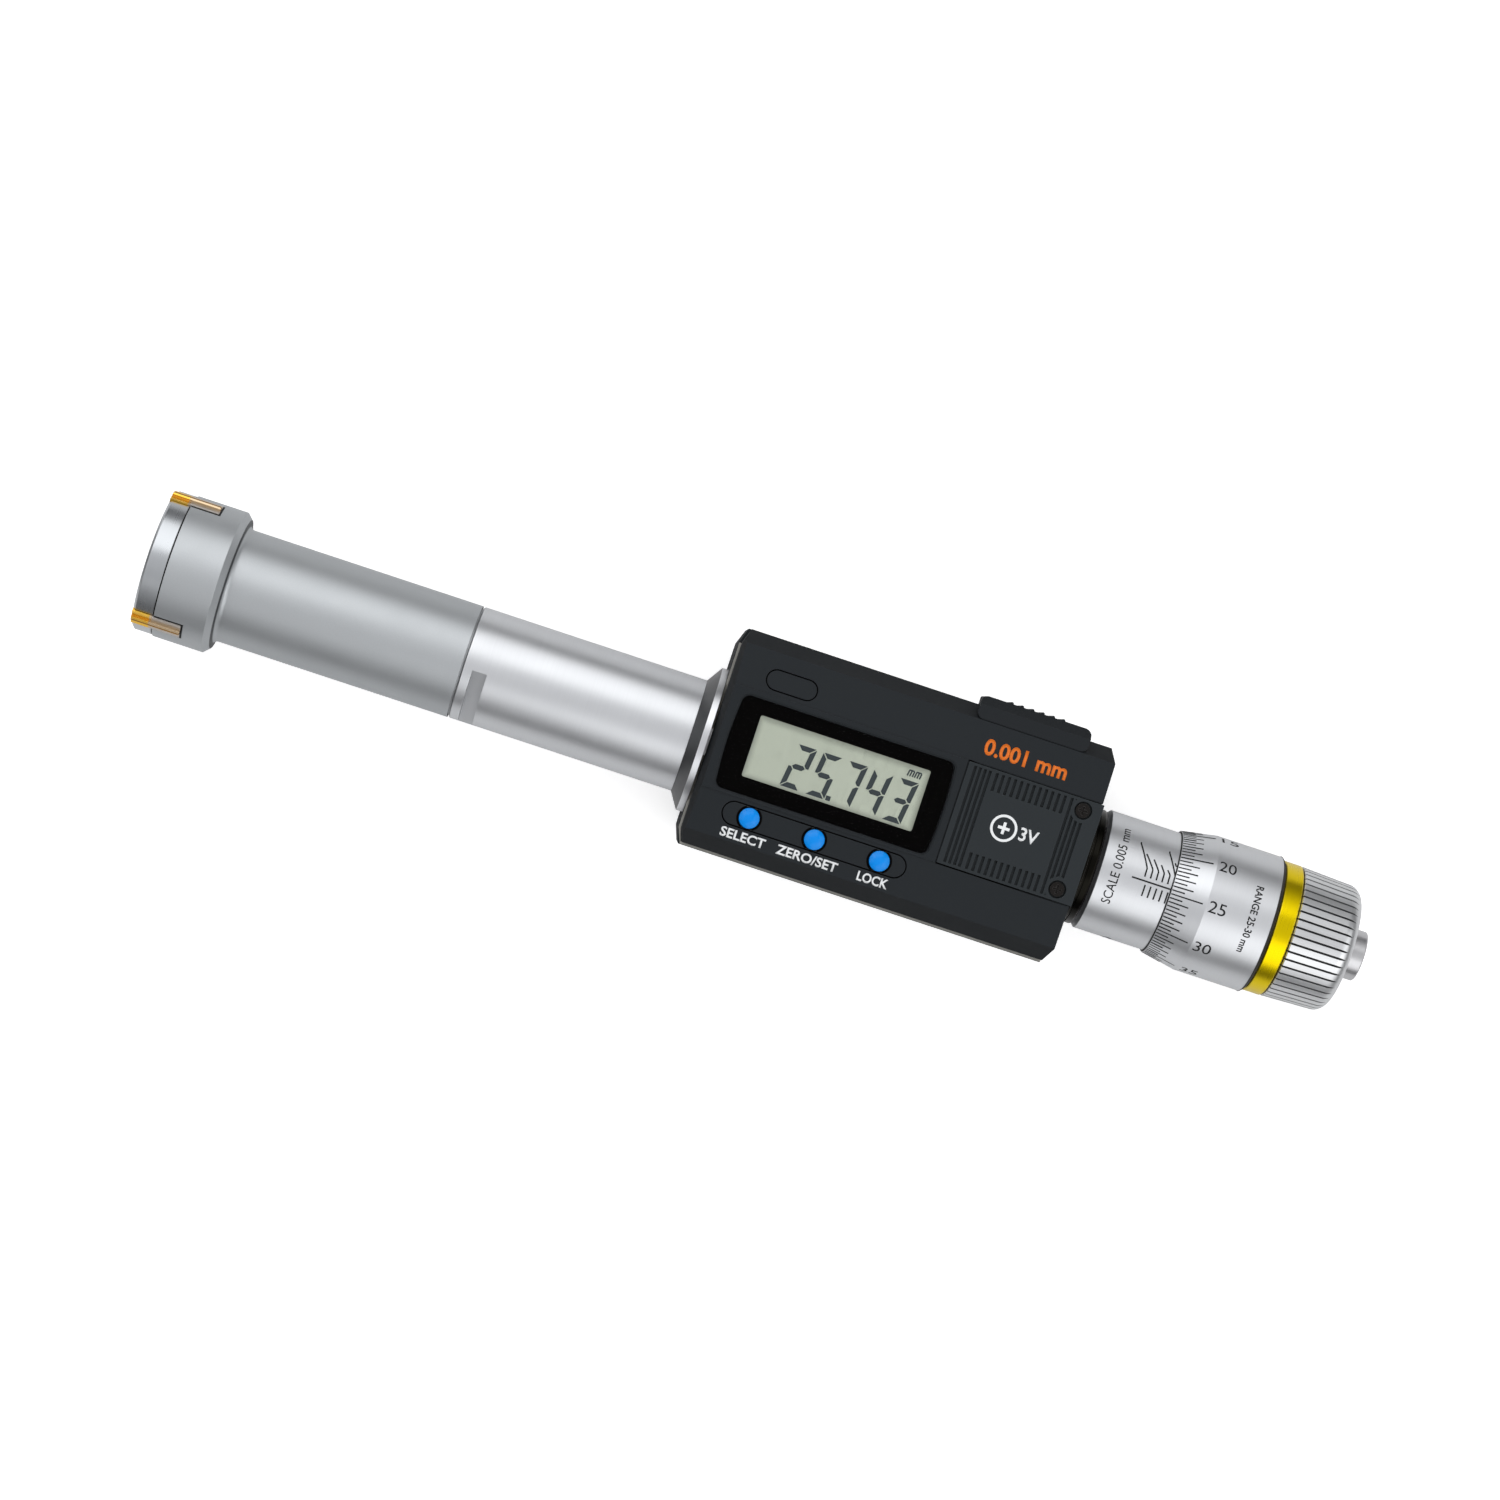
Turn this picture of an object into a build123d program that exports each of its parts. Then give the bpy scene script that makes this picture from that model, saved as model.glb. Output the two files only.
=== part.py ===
from build123d import *
import math
import os

# Three-point inside micrometer with a digital display, in millimetres.
# The measuring axis runs along X, with the head at -X and the ratchet at +X.
# The display looks along +Z. The origin lies on the housing's flat back face, under the measuring
# axis and midway along the encoder's chamber.
# Every function models its piece about the measuring axis, and the last lines lift it.

AXIS_HEIGHT = 15.3

# Fits and running clearances
RUNNING_FIT = 0.05
SLIDING_GAP = 0.12
SEAT_GAP = 0.02
END_GAP = 0.2

# Measuring range, as the diameter over the three contacts
DIAMETER_AT_REST = 25.743
RANGE_ABOVE_REST = 4.257
RANGE_BELOW_REST = 0.743
CONE_RISE = 0.25
FORWARD_TRAVEL = RANGE_ABOVE_REST / 2 / CONE_RISE
BACKWARD_TRAVEL = RANGE_BELOW_REST / 2 / CONE_RISE
SMALLEST_RADIUS = (DIAMETER_AT_REST - RANGE_BELOW_REST) / 2

# Housing
HOUSING_LENGTH = 65.1
HOUSING_MIDDLE_X = 0.25
HOUSING_TOP_Y = 20.0
REAR_BOTTOM_Y = -17.6
FRONT_BOTTOM_Y = -17.1
HOUSING_WALL = 2.0
FRONT_Z = 15.0
PANEL_Z = 14.0
SHOULDER_Z = 9.5
PARTING_Z = 7.0
BAND_TOP_Y = 10.6
BAND_BOTTOM_Y = -7.1
PANEL_TOP_Y = 17.6
PANEL_BOTTOM_Y = -14.5
BACK_TOP_Y = 16.5
BACK_BOTTOM_Y = -14.0
BACK_SHOULDER_Z = -11.5
CORNER_ALONG = 0.85
CORNER_ACROSS = 2.5
BAND_STEP = 0.2
FRONT_SET_BACK = 0.45
FACET_WIDTH = 0.85
FACET_DEPTH = 3.0
GASKET_THICKNESS = 0.5
GASKET_WIDTH = 1.2
CASE_SCREW_INSET = 3.6
CASE_SCREW_TOP_Y = 14.2
CASE_SCREW_BOTTOM_Y = -11.7
CASE_SCREW_RADIUS = 1.0
CASE_SCREW_HEAD_RADIUS = 1.9
CASE_SCREW_HEAD_HEIGHT = 1.4
CASE_SCREW_RECESS = 1.8
CASE_SCREW_LENGTH = 23.0
CASE_SCREW_CROSS = 0.6
BOSS_WALL = 1.2

# Head with the three contacts
RING_LENGTH = 3.4
RING_RADIUS = SMALLEST_RADIUS - 0.4
RING_BEVEL = 0.4
RING_HOLLOW_RADIUS = 2.4
RING_HOLLOW_DEPTH = 2.0
FLANGE_LENGTH = 9.85
FLANGE_RADIUS = SMALLEST_RADIUS - 0.2
SLOT_LENGTH = 8.5
HEAD_GUIDE_RADIUS = 4.0
FRONT_TUBE_LENGTH = 41.35
FRONT_TUBE_RADIUS = 9.775
FLANGE_ROUND_SHARE = 0.4
FLANGE_ROUND = (FLANGE_RADIUS - FRONT_TUBE_RADIUS) * FLANGE_ROUND_SHARE
SPIGOT_LENGTH = 5.0
SPIGOT_RADIUS = 8.6
HEAD_SCREW_CIRCLE = 8.2
HEAD_SCREW_HEAD_RADIUS = 1.5
HEAD_SCREW_HEAD_HEIGHT = 1.0
HEAD_SCREW_RADIUS = 0.8
HEAD_SCREW_LENGTH = 6.0
HEAD_SCREW_CROSS = 0.5
CONTACT_ANGLES = (64.5, -55.5, 184.5)
CONTACT_WIDTH = 3.3
SHOULDER_RADIUS = SMALLEST_RADIUS - 0.15
TIP_BLOCK_DEPTH = 1.1
TIP_BAR_WIDTH = 1.0
TIP_BAR_CHAMFER = 0.2
WEB_RADIUS = 4.2
FOOT_REACH = 9.7
FOOT_FACE_LENGTH = 5.0
TOE_LENGTH = 2.0
FOOT_TOP_RADIUS = 5.3
FOOT_OPEN_RADIUS = FOOT_TOP_RADIUS + RANGE_ABOVE_REST / 2
TUBE_BORE_RADIUS = math.hypot(FOOT_OPEN_RADIUS, CONTACT_WIDTH / 2) + SLIDING_GAP
LEAF_WIDTH = 2.4
LEAF_THICKNESS = 0.3
LEAF_OVERLAP = 1.6

# Cone, push rod and its guides
CONE_TIP_RADIUS = 1.4
CONE_TIP_SETBACK = 11.0
CONE_LENGTH = 15.0
CONE_HEEL = 1.0
ROD_RADIUS = 3.0
ROD_NOSE_RADIUS = 1.5
ROD_NOSE_LENGTH = 6.0
ROD_SHOULDER_RADIUS = 5.2
ROD_SHOULDER_LENGTH = 2.0
FRONT_BUSH_SETBACK = 1.514
FRONT_BUSH_LENGTH = 10.0
REAR_BUSH_LENGTH = 5.0
SPRING_LENGTH = 27.0
SPRING_TURNS = 6
SPRING_RADIUS = 4.5
SPRING_WIRE_RADIUS = 0.5
BALL_RADIUS = 2.0

# Extension tube and collar
EXTENSION_LENGTH = 39.2
EXTENSION_RADIUS = 9.75
EXTENSION_BORE_RADIUS = 5.9
FLAT_HALF_WIDTH = 7.15
FLAT_LENGTH = 2.5
FLAT_SETBACK = 1.7
FLAT_ANGLE = -48.5
COLLAR_CONE_LENGTH = 1.8
COLLAR_RIM_LENGTH = 1.1
COLLAR_RIM_RADIUS = 12.55
EDGE_BREAK = 0.2
RELIEF_WIDTH = 0.25
RELIEF_DEPTH = 0.5

# Main frame through the housing and the encoder in it
FRAME_LEFT_RADIUS = 7.5
FRAME_RIGHT_RADIUS = 7.3
FRAME_BORE_RADIUS = 3.45
FRAME_SPIGOT = 5.0
FRAME_SPIGOT_WALL = 1.0
CHAMBER_HALF_LENGTH = 8.0
CHAMBER_RADIUS = 9.6
CHAMBER_WALL = 1.2
CHAMBER_MOUTH_Z = 7.6
STATOR_THICKNESS = 1.4
ENCODER_GAP = 0.5
ROTOR_THICKNESS = 1.2
ROTOR_HUB_RADIUS = 5.5
KEY_WIDTH = 1.2
KEY_DEPTH = 0.9

# Spindle, sleeves and thimble
SPINDLE_RADIUS = 3.25
THREAD_RADIUS = 4.0
THREAD_SETBACK = 4.75
SPINDLE_SHOULDER_RADIUS = 5.5
SPINDLE_SHOULDER_LENGTH = 1.0
SPINDLE_STUB_RADIUS = 3.6
INNER_SLEEVE_SEAT = 5.8
INNER_SLEEVE_RADIUS = 9.2
NUT_SETBACK = 8.25
NUT_END_RADIUS = 7.1
TAPER_NUT_LENGTH = 4.6
SEAL_RING_LENGTH = 2.95
SEAL_RING_RADIUS = 10.03
SEAL_RING_ROUND = 0.5
SEAL_RING_GROOVE = 0.4
SEAL_RING_STEP = 0.3
SLEEVE_RADIUS = 10.38
SLEEVE_LENGTH = 18.45
SLEEVE_CHAMFER = 0.65
SPANNER_HOLE_SETBACK = 6.4
SPANNER_HOLE_RADIUS = 0.9
SPANNER_HOLE_DEPTH = 0.8
SPANNER_HOLE_ANGLE = -82
THIMBLE_SETBACK = 12.95
THIMBLE_LENGTH = 17.7
THIMBLE_TAPER_LENGTH = 6.1
THIMBLE_EDGE_RADIUS = 10.72
THIMBLE_RADIUS = 11.9
THIMBLE_CLEARANCE = 0.08
THIMBLE_WALL = 2.0
THIMBLE_NECK_RADIUS = 9.8
NECK_GAP = 0.4
COLOUR_RING_LENGTH = 3.15
COLOUR_RING_RADIUS = 11.45

# Ratchet at the end
KNOB_LENGTH = 10.85
KNOB_FRONT_RADIUS = 11.42
KNOB_REAR_RADIUS = 10.98
KNOB_ROUND = 2.4
KNOB_HOLLOW_RADIUS = 8.4
KNOB_HOLLOW_DEPTH = 8.0
RIB_COUNT = 50
RIB_GROOVE_WIDTH = 0.7
RIB_GROOVE_DEPTH = 0.45
STUB_RADIUS = 4.32
STUB_LENGTH = 3.1
STUB_SEAT_DEPTH = 2.5
RATCHET_SCREW_RADIUS = 2.0
RATCHET_PLATE_RADIUS = 7.9
RATCHET_PLATE_THICKNESS = 2.0
RATCHET_TEETH = 16
TOOTH_DEPTH = 0.5
TOOTH_GAP = 0.3
RATCHET_SPRING_RADIUS = 5.6
RATCHET_SPRING_WIRE = 0.5
RATCHET_SPRING_TURNS = 1.5

# Display side of the housing
WINDOW_INSET = 3.4
WINDOW_COVER_GAP = 1.95
WINDOW_BOTTOM_Y = -6.5
WINDOW_TOP_Y = 9.45
WINDOW_ROUND = 1.3
WINDOW_BOW = 0.5
WINDOW_SUNK = 0.2
WINDOW_LIP = 0.3
WINDOW_THICKNESS = 1.2
PANE_LEFT_INSET = 3.45
PANE_RIGHT_INSET = 3.25
PANE_BOTTOM_Y = -3.85
PANE_TOP_Y = 6.95
PANE_THICKNESS = 2.9
BOARD_LEFT_INSET = 2.5
BOARD_OVERHANG = 1.5
BOARD_BOTTOM_Y = -12.4
BOARD_TOP_Y = 12.4
BOARD_THICKNESS = 1.0
BOARD_PILLAR_RADIUS = 1.0
BUTTON_LEFT_INSET = 7.05
BUTTON_RIGHT_INSET = 6.91
BUTTON_COUNT = 3
BUTTON_Y = -9.8
BUTTON_RADIUS = 1.7
BUTTON_TOP_Z = 15.4
BUTTON_DOME = 0.5
BUTTON_FLANGE_RADIUS = 2.2
BUTTON_FLANGE_THICKNESS = 0.4
BUTTON_GAP = 0.12
BUTTON_TRAVEL = 0.5
MAT_THICKNESS = 0.3
GROOVE_LEFT_INSET = 2.35
GROOVE_RIGHT_INSET = 2.25
GROOVE_WIDTH = 0.22
GROOVE_DEPTH = 0.3
GROOVE_HALF_HEIGHT = 2.08
BLANK_INSET = 2.45
BLANK_LENGTH = 8.9
BLANK_Y = 13.16
BLANK_HALF_HEIGHT = 1.83

# Battery and its cover
COVER_LENGTH = 23.25
COVER_THICKNESS = 1.6
COVER_GAP = 0.1
COVER_OVERHANG = 0.3
PLATE_LEFT_INSET = 4.55
PLATE_RIGHT_INSET = 5.8
PLATE_BOTTOM_Y = -3.7
PLATE_TOP_Y = 6.95
COVER_RIB_COUNT = 12
COVER_RIB_GROOVE = 0.5
COVER_RIB_DEPTH = 0.6
SIDE_RIB_COUNT = 4
SIDE_RIB_PITCH = 0.85
COVER_RIB_MARGIN = 0.45
COVER_SCREW_INSET = 2.8
COVER_SCREW_TOP_Y = 8.6
COVER_SCREW_BOTTOM_Y = -5.05
COVER_SCREW_RADIUS = 0.7
COVER_SCREW_HEAD_RADIUS = 1.2
COVER_SCREW_HEAD_HEIGHT = 0.7
COVER_SCREW_LENGTH = 4.0
COVER_SCREW_CROSS = 0.35
COVER_SCREW_SUNK = 0.25
COVER_SCREW_SPACE = 0.3
BATTERY_RADIUS = 5.8
BATTERY_HEIGHT = 5.35
BATTERY_POLE_RADIUS = 4.9
BATTERY_POLE_HEIGHT = 0.5
BATTERY_INSET = 13.6
BATTERY_Y = 1.75
WELL_GAP = 0.15
WELL_WALL = 1.1
CONTACT_STRIP_THICKNESS = 0.2
CONTACT_STRIP_HALF_WIDTH = 2.0
SEAL_CORD_WIDTH = 0.8
SEAL_CORD_HEIGHT = 0.5

# Data socket and its cap on the top edge
CAP_INSET = 14.7
CAP_LENGTH = 19.2
CAP_RISE = 1.7
CAP_BACK_Z = -4.5
CAP_FRONT_Z = 13.8
CAP_SKIRT_Y = 17.75
CAP_NOSE = 1.6
CAP_END_ROUND = 1.2
CAP_END_TAPER = 1.3
CAP_RIB_COUNT = 6
CAP_RIB_PITCH = 1.8
CAP_RIB_RADIUS = 0.3
SOCKET_LENGTH = 13.2
SOCKET_WALL = 0.8
SOCKET_BOTTOM_Z = -0.6
SOCKET_TOP_Z = 5.0
SOCKET_DEPTH = 3.4

# Stations along the axis, worked out from the lengths above
HOUSING_LEFT_X = HOUSING_MIDDLE_X - HOUSING_LENGTH / 2
HOUSING_RIGHT_X = HOUSING_MIDDLE_X + HOUSING_LENGTH / 2
FRONT_LEFT_X = HOUSING_LEFT_X + FRONT_SET_BACK
RIM_X = HOUSING_LEFT_X - COLLAR_RIM_LENGTH
COLLAR_X = RIM_X - COLLAR_CONE_LENGTH
JOINT_X = COLLAR_X - EXTENSION_LENGTH
FLANGE_REAR_X = JOINT_X - FRONT_TUBE_LENGTH
FLANGE_FRONT_X = FLANGE_REAR_X - FLANGE_LENGTH
HEAD_FACE_X = FLANGE_FRONT_X - RING_LENGTH
SLOT_END_X = HEAD_FACE_X + SLOT_LENGTH
CONE_TIP_X = HEAD_FACE_X + CONE_TIP_SETBACK
CONE_REAR_X = CONE_TIP_X + CONE_LENGTH + CONE_HEEL
CONE_REAR_RADIUS = CONE_TIP_RADIUS + CONE_RISE * CONE_LENGTH
FRONT_BUSH_X = CONE_REAR_X + BACKWARD_TRAVEL + FRONT_BUSH_SETBACK
SPINDLE_NOSE_X = -CHAMBER_HALF_LENGTH
ROD_REAR_X = SPINDLE_NOSE_X - 2 * BALL_RADIUS
SLEEVE_X = HOUSING_RIGHT_X + SEAL_RING_LENGTH
THREAD_START_X = SLEEVE_X + THREAD_SETBACK
NUT_START_X = SLEEVE_X + NUT_SETBACK
INNER_SLEEVE_START_X = HOUSING_RIGHT_X - INNER_SLEEVE_SEAT
INNER_SLEEVE_END_X = SLEEVE_X + SLEEVE_LENGTH + END_GAP
THIMBLE_X = SLEEVE_X + THIMBLE_SETBACK
THIMBLE_REAR_X = THIMBLE_X + THIMBLE_LENGTH
COLOUR_RING_X = THIMBLE_REAR_X + NECK_GAP
KNOB_X = COLOUR_RING_X + COLOUR_RING_LENGTH + END_GAP
KNOB_END_X = KNOB_X + KNOB_LENGTH
COVER_LEFT_X = HOUSING_RIGHT_X - COVER_LENGTH
WINDOW_LEFT_X = HOUSING_LEFT_X + WINDOW_INSET
WINDOW_RIGHT_X = COVER_LEFT_X - WINDOW_COVER_GAP
PANE_LEFT_X = WINDOW_LEFT_X + PANE_LEFT_INSET
PANE_RIGHT_X = WINDOW_RIGHT_X - PANE_RIGHT_INSET
BOARD_LEFT_X = WINDOW_LEFT_X + BOARD_LEFT_INSET
BOARD_RIGHT_X = WINDOW_RIGHT_X + BOARD_OVERHANG
BUTTON_FIRST_X = WINDOW_LEFT_X + BUTTON_LEFT_INSET
BUTTON_LAST_X = WINDOW_RIGHT_X - BUTTON_RIGHT_INSET
BUTTON_PITCH = (BUTTON_LAST_X - BUTTON_FIRST_X) / (BUTTON_COUNT - 1)
GROOVE_LEFT_X = WINDOW_LEFT_X + GROOVE_LEFT_INSET
GROOVE_RIGHT_X = WINDOW_RIGHT_X - GROOVE_RIGHT_INSET
BLANK_LEFT_X = WINDOW_LEFT_X + BLANK_INSET
BLANK_RIGHT_X = BLANK_LEFT_X + BLANK_LENGTH
PLATE_LEFT_X = COVER_LEFT_X + PLATE_LEFT_INSET
PLATE_RIGHT_X = HOUSING_RIGHT_X - PLATE_RIGHT_INSET
COVER_SCREW_X = HOUSING_RIGHT_X - COVER_SCREW_INSET
CASE_SCREW_X = HOUSING_RIGHT_X - CASE_SCREW_INSET
BATTERY_X = HOUSING_RIGHT_X - BATTERY_INSET
CAP_MIDDLE_X = HOUSING_RIGHT_X - CAP_INSET
BACK_Z = -AXIS_HEIGHT
RIGHT_SPIGOT_RADIUS = FRAME_RIGHT_RADIUS - FRAME_SPIGOT_WALL
CEILING_Z = FRONT_Z - HOUSING_WALL
BAND_EDGE_Z = FRONT_Z - BAND_STEP
POCKET_Z = FRONT_Z - COVER_THICKNESS
PANE_TOP_Z = FRONT_Z - WINDOW_THICKNESS
BOARD_TOP_Z = PANE_TOP_Z - PANE_THICKNESS
BATTERY_BOTTOM_Z = POCKET_Z - RUNNING_FIT - BATTERY_HEIGHT
BUTTON_FLANGE_Z = BOARD_TOP_Z + MAT_THICKNESS + BUTTON_TRAVEL + END_GAP / 2
BUTTON_FLANGE_TOP_Z = BUTTON_FLANGE_Z + BUTTON_FLANGE_THICKNESS
BUTTON_XS = [BUTTON_FIRST_X + BUTTON_PITCH * index for index in range(BUTTON_COUNT)]
CASE_SCREW_PLACES = [
    (x, y) for x in (-CASE_SCREW_X, CASE_SCREW_X) for y in (CASE_SCREW_BOTTOM_Y, CASE_SCREW_TOP_Y)
]
COVER_SCREW_PLACES = [(COVER_SCREW_X, COVER_SCREW_TOP_Y), (COVER_SCREW_X, COVER_SCREW_BOTTOM_Y)]


def turned(*outline):
    """Turns an outline of (x, radius) points about the measuring axis."""
    return revolve(make_face(Polyline(*outline, close=True)), Axis.X)


def tube(start, end, outer, inner):
    """Makes a plain tube or ring on the measuring axis."""
    return turned((start, inner), (end, inner), (end, outer), (start, outer))


def rod(start, end, radius):
    """Makes a plain round bar on the measuring axis."""
    return turned((start, 0), (end, 0), (end, radius), (start, radius))


def block(x_range, y_range, z_range):
    """Makes a box from its limits along the three axes."""
    ranges = (x_range, y_range, z_range)
    sizes = [high - low for low, high in ranges]
    middles = [(high + low) / 2 for low, high in ranges]
    return Pos(*middles) * Box(*sizes)


def pillar(x, y, z_range, radius):
    """Makes an upright round bar."""
    low, high = z_range
    return Pos(x, y, (low + high) / 2) * Cylinder(radius, high - low)


def leaned(shape, angle):
    """Turns a shape about the measuring axis, from +Z towards +Y."""
    return Rot(X=-angle) * shape


def along_x(outline, x_range):
    """Extrudes a closed outline of (y, z) points from one x to another."""
    low, high = x_range
    face = Plane.YZ * make_face(Polyline(*outline, close=True))
    return Pos(low, 0, 0) * extrude(face, high - low)


def coil(start, length, radius, wire, turns):
    """Makes a compression spring on the measuring axis, with its wire inside the length."""
    pitch = (length - 2 * wire) / turns
    path = Helix(pitch, length - 2 * wire, radius)
    section = Plane(path @ 0, z_dir=path % 0) * Circle(wire)
    spring = sweep(section, path=path, is_frenet=True)
    return Pos(start + wire, 0, 0) * (Rot(Y=90) * spring)


def screw(head_radius, head_height, radius, length, cross):
    """Makes a screw that points down, with the top of its head at the origin and a cross recess."""
    body = pillar(0, 0, (-head_height, 0), head_radius)
    body += pillar(0, 0, (-length, -head_height), radius)
    arm = head_radius * 0.62
    depth = (-head_height * 0.5, head_height)
    body -= block((-arm, arm), (-cross / 2, cross / 2), depth)
    return body - block((-cross / 2, cross / 2), (-arm, arm), depth)


def contact_slot(start, end, radius):
    """Makes the space that one contact slides in."""
    half = CONTACT_WIDTH / 2 + SLIDING_GAP
    return block((start, end), (-half, half), (0, radius))


def head_body():
    """Makes the head flange with its three slots, in one piece with the front tube."""
    shell = turned(
        (FLANGE_FRONT_X, HEAD_GUIDE_RADIUS),
        (SLOT_END_X, HEAD_GUIDE_RADIUS),
        (SLOT_END_X, TUBE_BORE_RADIUS),
        (JOINT_X - SPIGOT_LENGTH, TUBE_BORE_RADIUS),
        (JOINT_X - SPIGOT_LENGTH, SPIGOT_RADIUS + SEAT_GAP),
        (JOINT_X, SPIGOT_RADIUS + SEAT_GAP),
        (JOINT_X, FRONT_TUBE_RADIUS - RELIEF_DEPTH),
        (JOINT_X - RELIEF_WIDTH, FRONT_TUBE_RADIUS - RELIEF_DEPTH),
        (JOINT_X - RELIEF_WIDTH, FRONT_TUBE_RADIUS),
        (FLANGE_REAR_X, FRONT_TUBE_RADIUS),
        (FLANGE_REAR_X, FLANGE_RADIUS - FLANGE_ROUND),
        (FLANGE_REAR_X - FLANGE_ROUND, FLANGE_RADIUS),
        (FLANGE_FRONT_X + RELIEF_WIDTH, FLANGE_RADIUS),
        (FLANGE_FRONT_X + RELIEF_WIDTH, FLANGE_RADIUS - RELIEF_DEPTH),
        (FLANGE_FRONT_X, FLANGE_RADIUS - RELIEF_DEPTH),
    )
    rims = shell.edges().filter_by(GeomType.CIRCLE).filter_by_position(Axis.X, FLANGE_REAR_X, FLANGE_REAR_X)
    shell = fillet(rims.sort_by(SortBy.RADIUS)[0], FLANGE_ROUND)
    for angle in CONTACT_ANGLES:
        shell -= leaned(contact_slot(FLANGE_FRONT_X - 1, SLOT_END_X, FLANGE_RADIUS + 1), angle)
        shell -= leaned(head_screw_space(), angle + 180)
    return shell


def head_ring():
    """Makes the closed front ring of the head, with its slots and screw seats."""
    ring = turned(
        (HEAD_FACE_X, 0),
        (FLANGE_FRONT_X - RING_HOLLOW_DEPTH, 0),
        (FLANGE_FRONT_X - RING_HOLLOW_DEPTH, RING_HOLLOW_RADIUS),
        (FLANGE_FRONT_X, RING_HOLLOW_RADIUS),
        (FLANGE_FRONT_X, RING_RADIUS),
        (HEAD_FACE_X + RING_BEVEL, RING_RADIUS),
        (HEAD_FACE_X, RING_RADIUS - RING_BEVEL),
    )
    for angle in CONTACT_ANGLES:
        half = CONTACT_WIDTH / 2 + SLIDING_GAP
        floor = WEB_RADIUS - BACKWARD_TRAVEL * CONE_RISE - END_GAP
        slot = block((HEAD_FACE_X - 1, FLANGE_FRONT_X + 1), (-half, half), (floor, RING_RADIUS + 1))
        ring -= leaned(slot, angle)
        ring -= leaned(head_screw_space(), angle + 180)
    return ring


def head_screw_space():
    """Makes the stepped hole of one head screw, pointing up from the axis."""
    seat = Cylinder(HEAD_SCREW_HEAD_RADIUS + SEAT_GAP, 2 * HEAD_SCREW_HEAD_HEIGHT)
    shank = Cylinder(HEAD_SCREW_RADIUS, 2 * HEAD_SCREW_LENGTH)
    return Pos(HEAD_FACE_X, 0, HEAD_SCREW_CIRCLE) * (Rot(Y=90) * (seat + shank))


def head_screws():
    """Makes the three screws that hold the front ring."""
    screws = []
    for angle in CONTACT_ANGLES:
        one = screw(
            HEAD_SCREW_HEAD_RADIUS,
            HEAD_SCREW_HEAD_HEIGHT,
            HEAD_SCREW_RADIUS,
            HEAD_SCREW_LENGTH,
            HEAD_SCREW_CROSS,
        )
        placed = Pos(HEAD_FACE_X, 0, HEAD_SCREW_CIRCLE) * (Rot(Y=-90) * one)
        screws.append(leaned(placed, angle + 180))
    return Compound(screws)


def contact_carrier(angle):
    """Makes the steel carrier of one contact, with the slanted foot that rides on the cone."""
    foot_end = SLOT_END_X - 2 * SLIDING_GAP + FOOT_REACH
    face_start = foot_end - FOOT_FACE_LENGTH
    heel_radius = CONE_TIP_RADIUS + CONE_RISE * (foot_end - CONE_TIP_X) + RUNNING_FIT
    toe_radius = CONE_TIP_RADIUS + CONE_RISE * (face_start - CONE_TIP_X) + RUNNING_FIT
    toe_x = face_start - TOE_LENGTH
    web_end = SLOT_END_X - SLIDING_GAP
    outline = (
        (HEAD_FACE_X, WEB_RADIUS),
        (toe_x - WEB_RADIUS + toe_radius, WEB_RADIUS),
        (toe_x, toe_radius),
        (face_start, toe_radius),
        (foot_end, heel_radius),
        (foot_end, FOOT_TOP_RADIUS),
        (web_end, FOOT_TOP_RADIUS),
        (web_end, SHOULDER_RADIUS),
        (FLANGE_FRONT_X, SHOULDER_RADIUS),
        (FLANGE_FRONT_X, SHOULDER_RADIUS - TIP_BLOCK_DEPTH),
        (HEAD_FACE_X, SHOULDER_RADIUS - TIP_BLOCK_DEPTH),
    )
    side = Plane.XZ * make_face(Polyline(*outline, close=True))
    carrier = extrude(side, CONTACT_WIDTH / 2, both=True)
    return leaned(carrier, angle)


def contact_tip(angle):
    """Makes the hard coated tip: a full-width front block and a narrow measuring bar."""
    half = CONTACT_WIDTH / 2
    bar_half = TIP_BAR_WIDTH / 2
    tip = block(
        (HEAD_FACE_X, FLANGE_FRONT_X),
        (-half, half),
        (SHOULDER_RADIUS - TIP_BLOCK_DEPTH, SHOULDER_RADIUS),
    )
    bar = block(
        (HEAD_FACE_X, SLOT_END_X - SLIDING_GAP),
        (-bar_half, bar_half),
        (SHOULDER_RADIUS, DIAMETER_AT_REST / 2),
    )
    crest = bar.edges().group_by(Axis.Z)[-1]
    tip += chamfer(crest, TIP_BAR_CHAMFER)
    return leaned(tip, angle)


def contact_spring(angle):
    """Makes the leaf that presses one contact back on the cone."""
    foot_end = SLOT_END_X - 2 * SLIDING_GAP + FOOT_REACH
    low = FOOT_TOP_RADIUS + RUNNING_FIT
    leaf = block(
        (foot_end - LEAF_OVERLAP, FRONT_BUSH_X),
        (-LEAF_WIDTH / 2, LEAF_WIDTH / 2),
        (low, low + LEAF_THICKNESS),
    )
    return leaned(leaf, angle)


def cone():
    """Makes the expanding cone."""
    heel_x = CONE_TIP_X + CONE_LENGTH
    return turned(
        (CONE_TIP_X, 0),
        (CONE_REAR_X - ROD_NOSE_LENGTH, 0),
        (CONE_REAR_X - ROD_NOSE_LENGTH, ROD_NOSE_RADIUS),
        (CONE_REAR_X, ROD_NOSE_RADIUS),
        (CONE_REAR_X, CONE_REAR_RADIUS),
        (heel_x, CONE_REAR_RADIUS),
        (CONE_TIP_X, CONE_TIP_RADIUS),
    )


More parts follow.
